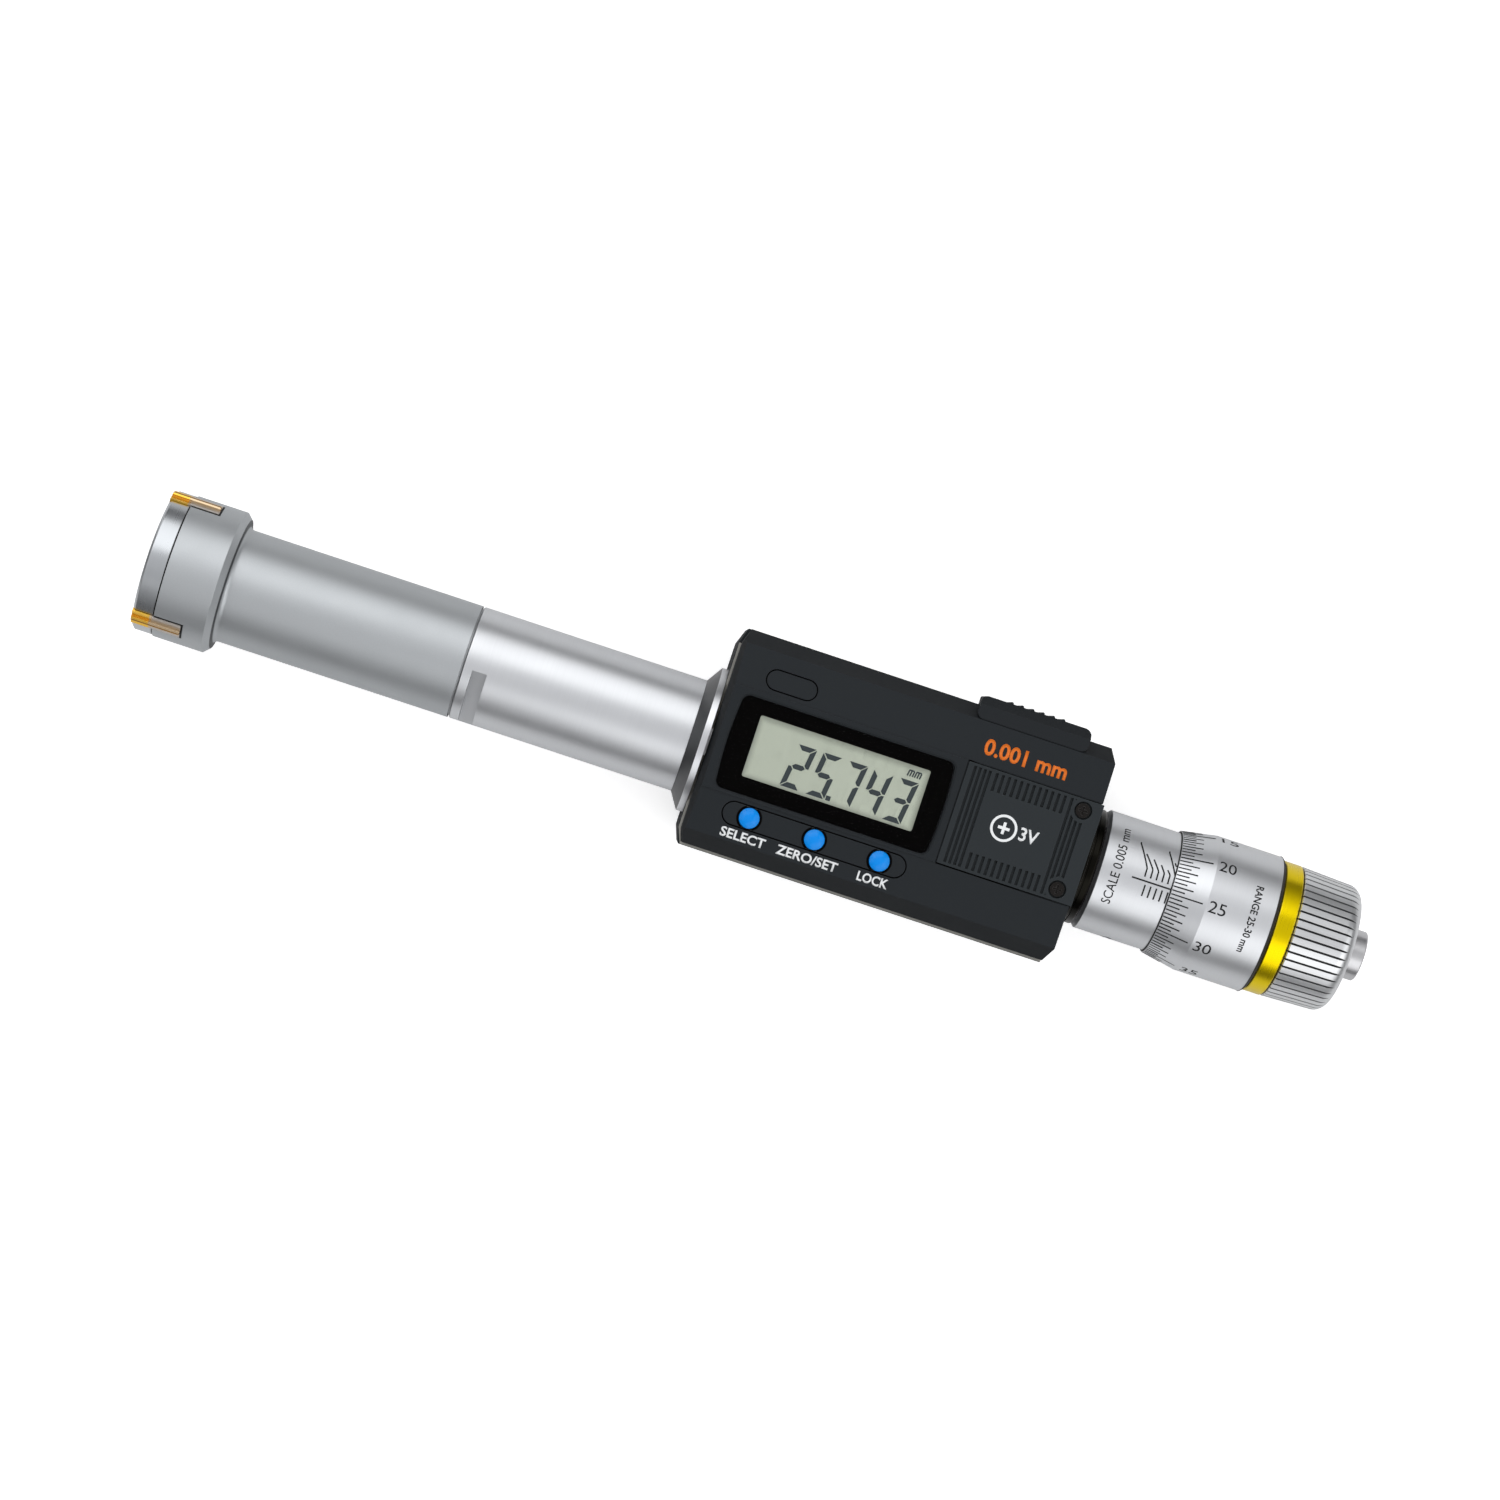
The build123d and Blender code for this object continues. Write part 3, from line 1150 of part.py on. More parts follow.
def display_panel():
    """Makes the liquid crystal panel under the window."""
    return pane_block(0, (BOARD_TOP_Z, PANE_TOP_Z))


def circuit_board():
    """Makes the circuit board that carries the panel."""
    return block(
        (BOARD_LEFT_X, BOARD_RIGHT_X),
        (BOARD_BOTTOM_Y, BOARD_TOP_Y),
        (BOARD_TOP_Z - BOARD_THICKNESS, BOARD_TOP_Z),
    )


def button_mat():
    """Makes the soft switch mat under the buttons."""
    margin = BUTTON_FLANGE_RADIUS
    return block(
        (BUTTON_XS[0] - margin, BUTTON_XS[-1] + margin),
        (BUTTON_Y - margin, BUTTON_Y + margin),
        (BOARD_TOP_Z, BOARD_TOP_Z + MAT_THICKNESS),
    )


def button(x):
    """Makes one domed button with the flange that keeps it in the cover."""
    dome_base = BUTTON_TOP_Z - BUTTON_DOME
    sphere_radius = (BUTTON_RADIUS**2 + BUTTON_DOME**2) / (2 * BUTTON_DOME)
    stem = Pos(x, BUTTON_Y, 0) * pillar(0, 0, (BUTTON_FLANGE_TOP_Z, BUTTON_TOP_Z + 1), BUTTON_RADIUS)
    ball = Pos(x, BUTTON_Y, BUTTON_TOP_Z - sphere_radius) * Sphere(sphere_radius)
    core = pillar(x, BUTTON_Y, (BUTTON_FLANGE_TOP_Z, dome_base), BUTTON_RADIUS)
    flange = pillar(x, BUTTON_Y, (BUTTON_FLANGE_Z, BUTTON_FLANGE_TOP_Z), BUTTON_FLANGE_RADIUS)
    return core + (stem & ball) + flange


def battery_cover():
    """Makes the ribbed battery cover with its plain square field."""
    whole = battery_cover_space(COVER_GAP, HOUSING_RIGHT_X + COVER_OVERHANG)
    cover = whole
    low_y = BAND_BOTTOM_Y + COVER_GAP + COVER_RIB_MARGIN
    high_y = BAND_TOP_Y - COVER_GAP - COVER_RIB_MARGIN
    depth = (FRONT_Z - COVER_RIB_DEPTH, FRONT_Z + 1)
    pitch = (PLATE_RIGHT_X - PLATE_LEFT_X) / COVER_RIB_COUNT
    for index in range(COVER_RIB_COUNT):
        x = PLATE_LEFT_X + pitch * (index + 0.5)
        span = (x - COVER_RIB_GROOVE / 2, x + COVER_RIB_GROOVE / 2)
        cover -= block(span, (low_y, PLATE_BOTTOM_Y), depth)
        cover -= block(span, (PLATE_TOP_Y, high_y), depth)
    for index in range(SIDE_RIB_COUNT):
        away = SIDE_RIB_PITCH * (index + 0.5)
        left_span = (PLATE_LEFT_X - away - COVER_RIB_GROOVE, PLATE_LEFT_X - away)
        right_span = (PLATE_RIGHT_X + away, PLATE_RIGHT_X + away + COVER_RIB_GROOVE)
        cover -= block(left_span, (low_y, high_y), depth)
        cover -= block(right_span, (low_y, high_y), depth)
    for x, y in COVER_SCREW_PLACES:
        eye = pillar(x, y, (POCKET_Z, FRONT_Z), COVER_SCREW_HEAD_RADIUS + 2 * COVER_RIB_MARGIN)
        cover += eye & whole
        cover -= pillar(x, y, (POCKET_Z, FRONT_Z + 1), COVER_SCREW_RADIUS + SLIDING_GAP)
        seat_z = FRONT_Z - COVER_SCREW_SUNK - COVER_SCREW_HEAD_HEIGHT
        cover -= pillar(x, y, (seat_z, FRONT_Z + 1), COVER_SCREW_HEAD_RADIUS + COVER_SCREW_SPACE)
    return cover


def battery_cover_screws():
    """Makes the two cross-head screws of the battery cover."""
    one = screw(
        COVER_SCREW_HEAD_RADIUS,
        COVER_SCREW_HEAD_HEIGHT,
        COVER_SCREW_RADIUS - SEAT_GAP,
        COVER_SCREW_LENGTH,
        COVER_SCREW_CROSS,
    )
    top_z = FRONT_Z - COVER_SCREW_SUNK
    return Compound([Pos(x, y, top_z) * one for x, y in COVER_SCREW_PLACES])


def seal_cord(gap):
    """Makes the seal round the battery well, or the groove for it."""
    inner = BATTERY_RADIUS + WELL_GAP + (WELL_WALL - SEAL_CORD_WIDTH) / 2 - gap
    low = POCKET_Z - SEAL_CORD_HEIGHT
    ring = pillar(BATTERY_X, BATTERY_Y, (low, POCKET_Z), inner + SEAL_CORD_WIDTH + 2 * gap)
    return ring - pillar(BATTERY_X, BATTERY_Y, (low, POCKET_Z), inner)


def battery_seal():
    """Makes the seal under the battery cover."""
    return seal_cord(0)


def battery():
    """Makes the button cell with the step of its smaller pole below."""
    step_z = BATTERY_BOTTOM_Z + BATTERY_POLE_HEIGHT
    top_z = BATTERY_BOTTOM_Z + BATTERY_HEIGHT
    can = pillar(BATTERY_X, BATTERY_Y, (step_z, top_z), BATTERY_RADIUS)
    return can + pillar(BATTERY_X, BATTERY_Y, (BATTERY_BOTTOM_Z, step_z), BATTERY_POLE_RADIUS)


def battery_contact():
    """Makes the spring strip under the battery, bent up to the circuit board."""
    low = BATTERY_BOTTOM_Z - CONTACT_STRIP_THICKNESS
    board_bottom = BOARD_TOP_Z - BOARD_THICKNESS
    half = CONTACT_STRIP_HALF_WIDTH
    left = CHAMBER_HALF_LENGTH + END_GAP
    widths = (BATTERY_Y - half, BATTERY_Y + half)
    strip = block((left, BATTERY_X + half), widths, (low, BATTERY_BOTTOM_Z))
    leg = block((left, left + CONTACT_STRIP_THICKNESS), widths, (BATTERY_BOTTOM_Z, board_bottom))
    return strip + leg


def cap_end_wedge(x, inward):
    """Makes the wedge cut off one end of the cap, so that it narrows toward the back."""
    outline = (
        (x, CAP_FRONT_Z),
        (x + inward * CAP_END_TAPER, CAP_BACK_Z),
        (x - inward, CAP_BACK_Z),
        (x - inward, CAP_FRONT_Z),
    )
    side = Plane.XZ * make_face(Polyline(*outline, close=True))
    return extrude(side, HOUSING_TOP_Y + 2 * CAP_RISE, both=True)


def connector_cap():
    """Makes the ribbed cap over the data socket, with a skirt down the front shoulder."""
    crest = HOUSING_TOP_Y + CAP_RISE
    outline = (
        (HOUSING_TOP_Y, CAP_BACK_Z),
        (crest - EDGE_BREAK, CAP_BACK_Z),
        (crest, CAP_BACK_Z + EDGE_BREAK),
        (crest, CAP_FRONT_Z - CAP_NOSE),
        (crest - CAP_NOSE, CAP_FRONT_Z),
        (CAP_SKIRT_Y, CAP_FRONT_Z),
        (HOUSING_TOP_Y, SHOULDER_Z),
    )
    left = CAP_MIDDLE_X - CAP_LENGTH / 2
    cap = along_x(outline, (left, left + CAP_LENGTH))
    front = RectangleRounded(CAP_LENGTH, crest - CAP_SKIRT_Y, CAP_END_ROUND)
    middle_y = (crest + CAP_SKIRT_Y) / 2
    cap &= Pos(CAP_MIDDLE_X, middle_y, CAP_BACK_Z) * extrude(front, CAP_FRONT_Z - CAP_BACK_Z)
    cap -= cap_end_wedge(left, 1)
    cap -= cap_end_wedge(left + CAP_LENGTH, -1)
    first = CAP_MIDDLE_X - CAP_RIB_PITCH * (CAP_RIB_COUNT - 1) / 2
    for index in range(CAP_RIB_COUNT):
        rib = pillar(0, 0, (CAP_BACK_Z + 1, CAP_FRONT_Z - CAP_NOSE), CAP_RIB_RADIUS)
        cap += Pos(first + CAP_RIB_PITCH * index, crest, 0) * rib
    return cap


def socket_space(outside_y):
    """Makes the mouth of the data socket, from its floor out through the cover."""
    left = CAP_MIDDLE_X - SOCKET_LENGTH / 2
    floor_y = HOUSING_TOP_Y - HOUSING_WALL - SOCKET_DEPTH
    return block((left, left + SOCKET_LENGTH), (floor_y, outside_y), (SOCKET_BOTTOM_Z, SOCKET_TOP_Z))


def data_socket():
    """Makes the data socket behind the cap."""
    left = CAP_MIDDLE_X - SOCKET_LENGTH / 2 - SOCKET_WALL
    back_y = HOUSING_TOP_Y - HOUSING_WALL
    body = block(
        (left, left + SOCKET_LENGTH + 2 * SOCKET_WALL),
        (back_y - SOCKET_DEPTH - SOCKET_WALL, back_y),
        (SOCKET_BOTTOM_Z - SOCKET_WALL, SOCKET_TOP_Z + SOCKET_WALL),
    )
    return body - socket_space(HOUSING_TOP_Y)


PIECES = {
    "head_body": head_body,
    "head_ring": head_ring,
    "head_screws": head_screws,
    "cone": cone,
    "push_rod": push_rod,
    "rod_spring": rod_spring,
    "thrust_ball": thrust_ball,
    "front_bush": front_bush,
    "rear_bush": rear_bush,
    "extension_tube": extension_tube,
    "collar": collar,
    "main_frame": main_frame,
    "encoder_stator": encoder_stator,
    "encoder_rotor": encoder_rotor,
    "spindle": spindle,
    "inner_sleeve": inner_sleeve,
    "taper_nut": taper_nut,
    "seal_ring": seal_ring,
    "sleeve": sleeve,
    "thimble": thimble,
    "colour_ring": colour_ring,
    "ratchet_knob": ratchet_knob,
    "ratchet_screw": ratchet_screw,
    "ratchet_plate": ratchet_plate,
    "ratchet_ring": ratchet_ring,
    "ratchet_spring": ratchet_spring,
    "front_cover": front_cover,
    "rear_cover": rear_cover,
    "housing_gasket": housing_gasket,
    "case_screws": case_screws,
    "display_window": display_window,
    "display_panel": display_panel,
    "circuit_board": circuit_board,
    "button_mat": button_mat,
    "battery_cover": battery_cover,
    "battery_cover_screws": battery_cover_screws,
    "battery_seal": battery_seal,
    "battery": battery,
    "battery_contact": battery_contact,
    "connector_cap": connector_cap,
    "data_socket": data_socket,
}


def write(name, shape):
    """Writes one piece, lifted so that the back face lies at the origin's height."""
    export_step(Pos(0, 0, AXIS_HEIGHT) * shape, f"parts/{name}.step")


os.makedirs("parts", exist_ok=True)
for piece_name, make_piece in PIECES.items():
    write(piece_name, make_piece())
for number, contact_angle in enumerate(CONTACT_ANGLES, start=1):
    write(f"contact_carrier_{number}", contact_carrier(contact_angle))
    write(f"contact_tip_{number}", contact_tip(contact_angle))
    write(f"contact_spring_{number}", contact_spring(contact_angle))
for number, button_x in enumerate(BUTTON_XS, start=1):
    write(f"button_{number}", button(button_x))
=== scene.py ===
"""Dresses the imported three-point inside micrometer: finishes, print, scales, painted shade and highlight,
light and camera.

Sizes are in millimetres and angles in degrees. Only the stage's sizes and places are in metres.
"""

import logging
import math
from collections.abc import Callable, Iterable, Sequence
from dataclasses import dataclass, field
from enum import Enum

import bmesh
import bpy
from mathutils import Matrix, Vector
from mathutils.bvhtree import BVHTree


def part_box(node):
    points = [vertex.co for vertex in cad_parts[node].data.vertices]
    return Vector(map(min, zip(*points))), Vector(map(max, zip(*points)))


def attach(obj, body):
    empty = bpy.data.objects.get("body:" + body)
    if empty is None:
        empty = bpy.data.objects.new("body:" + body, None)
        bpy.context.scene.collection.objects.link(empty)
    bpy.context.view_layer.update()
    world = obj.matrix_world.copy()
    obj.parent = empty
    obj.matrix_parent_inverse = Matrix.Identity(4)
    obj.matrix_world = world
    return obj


MM = 0.001
AXIS_HEIGHT = 15.3
Colour = tuple[float, float, float]
Point = tuple[float, float]
Form = bmesh.types.BMesh
Socket = bpy.types.NodeSocket
Feeds = dict[str | int, object]
NUMBER = "NodeSocketFloat"

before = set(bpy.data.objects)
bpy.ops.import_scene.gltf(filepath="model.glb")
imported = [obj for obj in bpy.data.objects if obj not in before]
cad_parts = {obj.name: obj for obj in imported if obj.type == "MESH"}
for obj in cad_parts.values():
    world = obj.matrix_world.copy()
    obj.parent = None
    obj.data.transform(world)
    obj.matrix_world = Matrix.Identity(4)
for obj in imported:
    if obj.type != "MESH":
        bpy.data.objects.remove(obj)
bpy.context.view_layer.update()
log = logging.getLogger("inside_micrometer")


class Grain(Enum):
    """The kinds of fine surface texture that the finishes have."""

    TURNED = "turned_grain"
    BLASTED = "blasted_grain"


class Body(Enum):
    """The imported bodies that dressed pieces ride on."""

    HOUSING = "instrument_body"
    THIMBLE = "thimble"


# Shader helpers and shared effects


def scaled(colour: Colour, factor: float, gain: float = 0.0) -> Colour:
    """Makes a colour darker or lighter by a factor, and then lighter by a gain."""
    return tuple(part * factor + gain for part in colour)


class Sketch:
    """Adds and joins the nodes of one shader tree."""

    def __init__(self, tree: bpy.types.NodeTree) -> None:
        """Keeps the tree, which belongs to a material, a group or the world."""
        self.tree = tree

    def add(self, kind: str, feeds: Feeds | None = None, **settings: object) -> bpy.types.Node:
        """Adds a node.

        Args:
            kind: Blender's name of the node type.
            feeds: What its inputs get, by their names or numbers.
            settings: Properties of the node, set before its inputs are fed.

        Returns:
            The new node.
        """
        node = self.tree.nodes.new(kind)
        for name, value in settings.items():
            setattr(node, name, value)
        for label, value in (feeds or {}).items():
            self.join(value, node.inputs[label])
        return node

    def join(self, source: object, target: Socket) -> None:
        """Feeds an input.

        Args:
            source: Another node's output, or the number or colour that the input is set to.
            target: The input.
        """
        if isinstance(source, Socket):
            self.tree.links.new(source, target)
        else:
            target.default_value = (*source, 1.0) if isinstance(source, tuple) else source

    def math(self, operation: str, first: object, second: object = 0.0, clamp: bool = False) -> Socket:
        """Adds a math node.

        Args:
            operation: The operation's name.
            first: A socket or number for the first input.
            second: A socket or number for the second input, if the operation has one.
            clamp: Whether the result is kept between 0 and 1.

        Returns:
            The node's output.
        """
        feeds = {0: first, 1: second}
        return self.add("ShaderNodeMath", feeds, operation=operation, use_clamp=clamp).outputs[0]

    def spread(self, value: Socket, low: float, high: float) -> Socket:
        """Maps a value of 0 to 1 evenly onto the range from low to high."""
        feeds = {"Value": value, "To Min": low, "To Max": high}
        return self.add("ShaderNodeMapRange", feeds).outputs["Result"]

    def vary(self, value: Socket, middle: float, swing: float) -> Socket:
        """Maps a value of 0 to 1 evenly onto a range of that swing on both sides of a middle."""
        return self.spread(value, middle - swing, middle + swing)

    def rise(self, value: Socket, start: float, end: float) -> Socket:
        """Maps a value smoothly onto 0 to 1, from where it starts to rise to where it ends."""
        feeds = {"Value": value, "From Min": start, "From Max": end}
        return self.add("ShaderNodeMapRange", feeds, interpolation_type="SMOOTHSTEP").outputs["Result"]

    def blend(self, share: Socket, first: object, second: object) -> Socket:
        """Mixes two colours.

        Args:
            share: The socket that says how much of the second colour shows.
            first: A colour or socket.
            second: A colour or socket.

        Returns:
            The mixed colour.
        """
        return self.add("ShaderNodeMix", {0: share, 6: first, 7: second}, data_type="RGBA").outputs[2]

    def mottle(self, share: Socket, colour: Colour, low: float, high: float) -> Socket:
        """Lets a colour vary between a low and a high share of itself."""
        return self.blend(share, scaled(colour, low), scaled(colour, high))

    def noise(
        self, scale: object, detail: float = 2.0, roughness: float = 0.5, place: Socket | None = None
    ) -> Socket:
        """Adds a noise texture.

        Args:
            scale: A socket or number for its scale, per metre.
            detail: How many finer layers it has.
            roughness: How strong the finer layers are.
            place: Where to read it, if not at the surface's own place.

        Returns:
            The noise, from 0 to 1.
        """
        if place is None:
            place = self.add("ShaderNodeTexCoord").outputs["Object"]
        feeds = {"Vector": place, "Scale": scale, "Detail": detail, "Roughness": roughness}
        return self.add("ShaderNodeTexNoise", feeds).outputs["Fac"]

    def split(self, source: str) -> list[Socket]:
        """Gives the X, Y and Z of one of the surface's own coordinates."""
        place = self.add("ShaderNodeTexCoord").outputs[source]
        return list(self.add("ShaderNodeSeparateXYZ", {0: place}).outputs)

    def from_axis(self) -> tuple[Socket, Socket, Socket]:
        """Gives how far a surface point lies along, across and above the measuring axis."""
        along, across, height = self.split("Object")
        return along, across, self.math("SUBTRACT", height, AXIS_HEIGHT * MM)

    def radius(self, across: Socket, lift: Socket) -> Socket:
        """Gives a point's distance from the axis, from how far it lies across and above."""
        squares = [self.math("MULTIPLY", side, side) for side in (across, lift)]
        return self.math("SQRT", self.math("ADD", *squares))


class GroupSketch(Sketch):
    """Builds one shader node group."""

    def __init__(self, name: str, inputs: dict[str, float], outputs: dict[str, str]) -> None:
        """Starts the group.

        Args:
            name: The group's name.
            inputs: Names of its number inputs, with their defaults.
            outputs: Names of its outputs, with the socket type of each.
        """
        super().__init__(bpy.data.node_groups.new(name, "ShaderNodeTree"))
        for label, default in inputs.items():
            socket = self.tree.interface.new_socket(label, in_out="INPUT", socket_type=NUMBER)
            socket.default_value = default
        for label, kind in outputs.items():
            self.tree.interface.new_socket(label, in_out="OUTPUT", socket_type=kind)
        self.given = self.add("NodeGroupInput")
        self.result = self.add("NodeGroupOutput")

    def per_size(self) -> Socket:
        """Turns the Size input, in millimetres, into a scale per metre."""
        return self.math("DIVIDE", 1 / MM, self.given.outputs["Size"])

    def give(self, **values: Socket) -> bpy.types.NodeTree:
        """Feeds the group's outputs.

        Args:
            values: What each output gets, by its name.

        Returns:
            The finished group.
        """
        for label, value in values.items():
            self.join(value, self.result.inputs[label])
        return self.tree


class SharedEffects:
    """The node groups that several finishes share, built once."""

    def __init__(self) -> None:
        """Builds every group."""
        self.groups = {
            Grain.TURNED.value: self.turned_grain(),
            Grain.BLASTED.value: self.even_noise(Grain.BLASTED.value, 0.2, 2.5, 0.6),
            "handling": self.even_noise("handling", 6.0, 4.0, 0.5),
            "rubbed_and_highlit_edges": self.rubbed_and_highlit_edges(),
            "slope": self.slope(),
        }

    @staticmethod
    def turned_grain() -> bpy.types.NodeTree:
        """Makes the fine rings of a turned surface, which run round the measuring axis.

        Returns:
            The group, with a Fac output from 0 to 1.
        """
        group = GroupSketch("turned_grain", {"Size": 0.2}, {"Fac": NUMBER})
        along, across, lift = group.from_axis()
        per_size = group.per_size()
        round_axis = group.math("ARCTAN2", across, lift)
        change_per_radian = 0.8
        place = group.add("ShaderNodeCombineXYZ", {
            0: group.math("MULTIPLY", along, per_size),
            1: group.math("MULTIPLY", group.radius(across, lift), per_size),
            2: group.math("MULTIPLY", round_axis, change_per_radian),
        })
        return group.give(Fac=group.noise(1.0, 3.0, 0.65, place.outputs[0]))

    @staticmethod
    def even_noise(name: str, size: float, detail: float, roughness: float) -> bpy.types.NodeTree:
        """Makes a noise of one size: the grain of blasted metal, or the clouds that handling leaves.

        Args:
            name: The group's name.
            size: Its usual size in millimetres.
            detail: How many finer layers it has.
            roughness: How strong the finer layers are.

        Returns:
            The group, with a Fac output from 0 to 1.
        """
        group = GroupSketch(name, {"Size": size}, {"Fac": NUMBER})
        return group.give(Fac=group.noise(group.per_size(), detail, roughness))

    @staticmethod
    def rubbed_and_highlit_edges() -> bpy.types.NodeTree:
        """Finds the edges, whose mask pales them partly as edge wear and partly as a painted highlight, and
        rounds them in the shading.

        Returns:
            The group, with a Mask output and a rounded Normal output.
        """
        group = GroupSketch("rubbed_and_highlit_edges", {"Radius": 0.1}, {"Mask": NUMBER, "Normal": "NodeSocketVector"})
        radius = group.math("MULTIPLY", group.given.outputs["Radius"], MM)
        rounded = group.add("ShaderNodeBevel", {"Radius": radius}, samples=4).outputs["Normal"]
        flat = group.add("ShaderNodeNewGeometry").outputs["Normal"]
        match = group.add("ShaderNodeVectorMath", {0: rounded, 1: flat}, operation="DOT_PRODUCT")
        away = group.math("SUBTRACT", 1.0, match.outputs["Value"])
        contrast, patches_per_mm, least, most = 5.0, 0.6, 0.3, 1.3
        mask = group.math("MULTIPLY", away, contrast, clamp=True)
        patchy = group.spread(group.noise(patches_per_mm / MM), least, most)
        return group.give(Mask=group.math("MULTIPLY", mask, patchy), Normal=rounded)

    @staticmethod
    def slope() -> bpy.types.NodeTree:
        """Tells which way a surface leans, from its own normal.

        Returns:
            The group: Up is how much it faces the display side, Along how much it faces along the
            measuring axis, and Groove how much it faces round the axis.
        """
        group = GroupSketch("slope", {}, dict.fromkeys(("Up", "Along", "Groove"), NUMBER))
        _, across, lift = group.from_axis()
        normal_x, normal_y, normal_z = group.split("Normal")
        first = group.math("MULTIPLY", normal_y, lift)
        second = group.math("MULTIPLY", normal_z, across)
        turn = group.math("DIVIDE", group.math("SUBTRACT", first, second), group.radius(across, lift))
        least, most = 0.71, 0.88
        return group.give(
            Up=group.math("MAXIMUM", normal_z, 0.0),
            Along=group.rise(group.math("ABSOLUTE", normal_x), least, most),
            Groove=group.math("ABSOLUTE", turn),
        )


class SurfaceSketch(Sketch):
    """Builds one material round its Principled shader."""

    def __init__(self, name: str, effects: SharedEffects | None = None) -> None:
        """Starts the material.

        Args:
            name: The material's name.
            effects: The shared node groups, if the material uses any.
        """
        self.material = bpy.data.materials.new(name)
        self.material.use_nodes = True
        super().__init__(self.material.node_tree)
        self.effects = effects
        self.shader = self.tree.nodes["Principled BSDF"]

    def effect(self, name: str, **values: float) -> bpy.types.bpy_prop_collection:
        """Places a shared effect.

        Args:
            name: The group's name.
            values: The group's own numbers for this material.

        Returns:
            The outputs of the group's node.
        """
        return self.add("ShaderNodeGroup", values, node_tree=self.effects.groups[name]).outputs

    def set(self, label: str, value: object) -> None:
        """Feeds one of the shader's inputs, or sets it to a number or a colour."""
        self.join(value, self.shader.inputs[label])

    def relief(self, grain: Socket, depth: float, rounded: Socket) -> None:
        """Gives the surface its rounded edges, with the grain as bump on them.

        Args:
            grain: The grain's height, from 0 to 1.
            depth: The grain's depth in millimetres.
            rounded: The normal that rounds the edges.
        """
        bump = self.add("ShaderNodeBump", {"Distance": depth * MM, "Height": grain, "Normal": rounded})
        self.set("Normal", bump.outputs["Normal"])


# Finishes


@dataclass(frozen=True)
class Finish:
    """One finish of the instrument, made once as a node material."""

    name: str
    colour: Colour
    roughness: float = 0.5

    def build(self, effects: SharedEffects) -> bpy.types.Material:
        """Builds the material.

        Args:
            effects: The shared node groups.

        Returns:
            The material.
        """
        surface = SurfaceSketch(self.name, effects)
        self.dress(surface)
        return surface.material

    def dress(self, surface: SurfaceSketch) -> None:
        """Gives the material its colour and sheen, which each kind of finish does in its own way."""
        raise NotImplementedError


@dataclass(frozen=True)
class MetalFinish(Finish):
    """A worked metal surface, with its grain, handling marks, edges paled by wear and by painted highlight,
    and painted shade where it faces along the axis and in grooves.
    """

    grain: Grain = Grain.TURNED
    grain_size: float = 0.12
    grain_depth: float = 0.002
    swing: float = 0.06
    edge_radius: float = 0.12
    edge_rub_and_highlight: float = 0.3
    end_shade: float = 0.0
    groove_shade: float = 0.0
    cloud_size: float = 7.0
    cloud_swing: float = 0.12
    grain_dulling: float = 0.05
    shade_level: float = 0.06

    def dress(self, surface: SurfaceSketch) -> None:
        """Gives the metal its colour, sheen and relief.

        Args:
            surface: The material that is being built.
        """
        grain = surface.effect(self.grain.value, Size=self.grain_size)["Fac"]
        cloud = surface.effect("handling", Size=self.cloud_size)["Fac"]
        edge = surface.effect("rubbed_and_highlit_edges", Radius=self.edge_radius)
        slope = surface.effect("slope")
        grained = surface.mottle(grain, self.colour, 1 - self.swing, 1 + self.swing)
        # Edges are paled partly as wear and partly as a painted highlight.
        wear_and_glint = surface.math("MULTIPLY", edge["Mask"], self.edge_rub_and_highlight)
        half_white = scaled(self.colour, 0.5, 0.5)
        tinted = self.tint(surface, surface.blend(wear_and_glint, grained, half_white))
        ends = surface.math("MULTIPLY", slope["Along"], self.end_shade)
        grooves = surface.math("MULTIPLY", slope["Groove"], self.groove_shade)
        shade = surface.math("MAXIMUM", ends, grooves)
        surface.set("Base Color", surface.blend(shade, tinted, scaled(self.colour, self.shade_level)))
        clouded = surface.vary(cloud, self.roughness, self.roughness * self.cloud_swing)
        dulled = surface.math("MULTIPLY", grain, self.grain_dulling)
        surface.set("Roughness", surface.math("ADD", clouded, dulled))
        surface.relief(grain, self.grain_depth, edge["Normal"])
        surface.set("Metallic", 1.0)

    def tint(self, surface: SurfaceSketch, colour: Socket) -> Socket:
        """Lets a special metal colour parts of its surface, which a plain one doesn't."""
        return colour


@dataclass(frozen=True)
class TipFinish(MetalFinish):
    """The coating on the contacts: gold in front of the head's seam, browned by wear behind it, with a
    painted shadow line along the middle of each.
    """

    seam_x: float = -126.0
    first_angle: float = 64.5
    spacing: float = 120.0
    line_share: float = 0.0065
    worn_colour: Colour = (0.62, 0.47, 0.3)
    painted_shadow_colour: Colour = (0.24, 0.115, 0.02)

    def tint(self, surface: SurfaceSketch, colour: Socket) -> Socket:
        """Colours the rear stretch, and paints a shadow line along the middle of each contact.

        Args:
            surface: The material that is being built.
            colour: The colour of the whole surface.

        Returns:
            The changed colour.
        """
        along, across, lift = surface.from_axis()
        turns = surface.math("DIVIDE", surface.math("ARCTAN2", across, lift), math.radians(self.spacing))
        share = surface.math("SUBTRACT", turns, self.first_angle / self.spacing)
        away = surface.math("ABSOLUTE", surface.math("SUBTRACT", share, surface.math("ROUND", share)))
        behind = surface.math("GREATER_THAN", along, self.seam_x * MM)
        rear = surface.blend(behind, colour, self.worn_colour)
        # The dark line along the middle of each contact is painted shadow.
        return surface.blend(surface.math("LESS_THAN", away, self.line_share), rear, self.painted_shadow_colour)


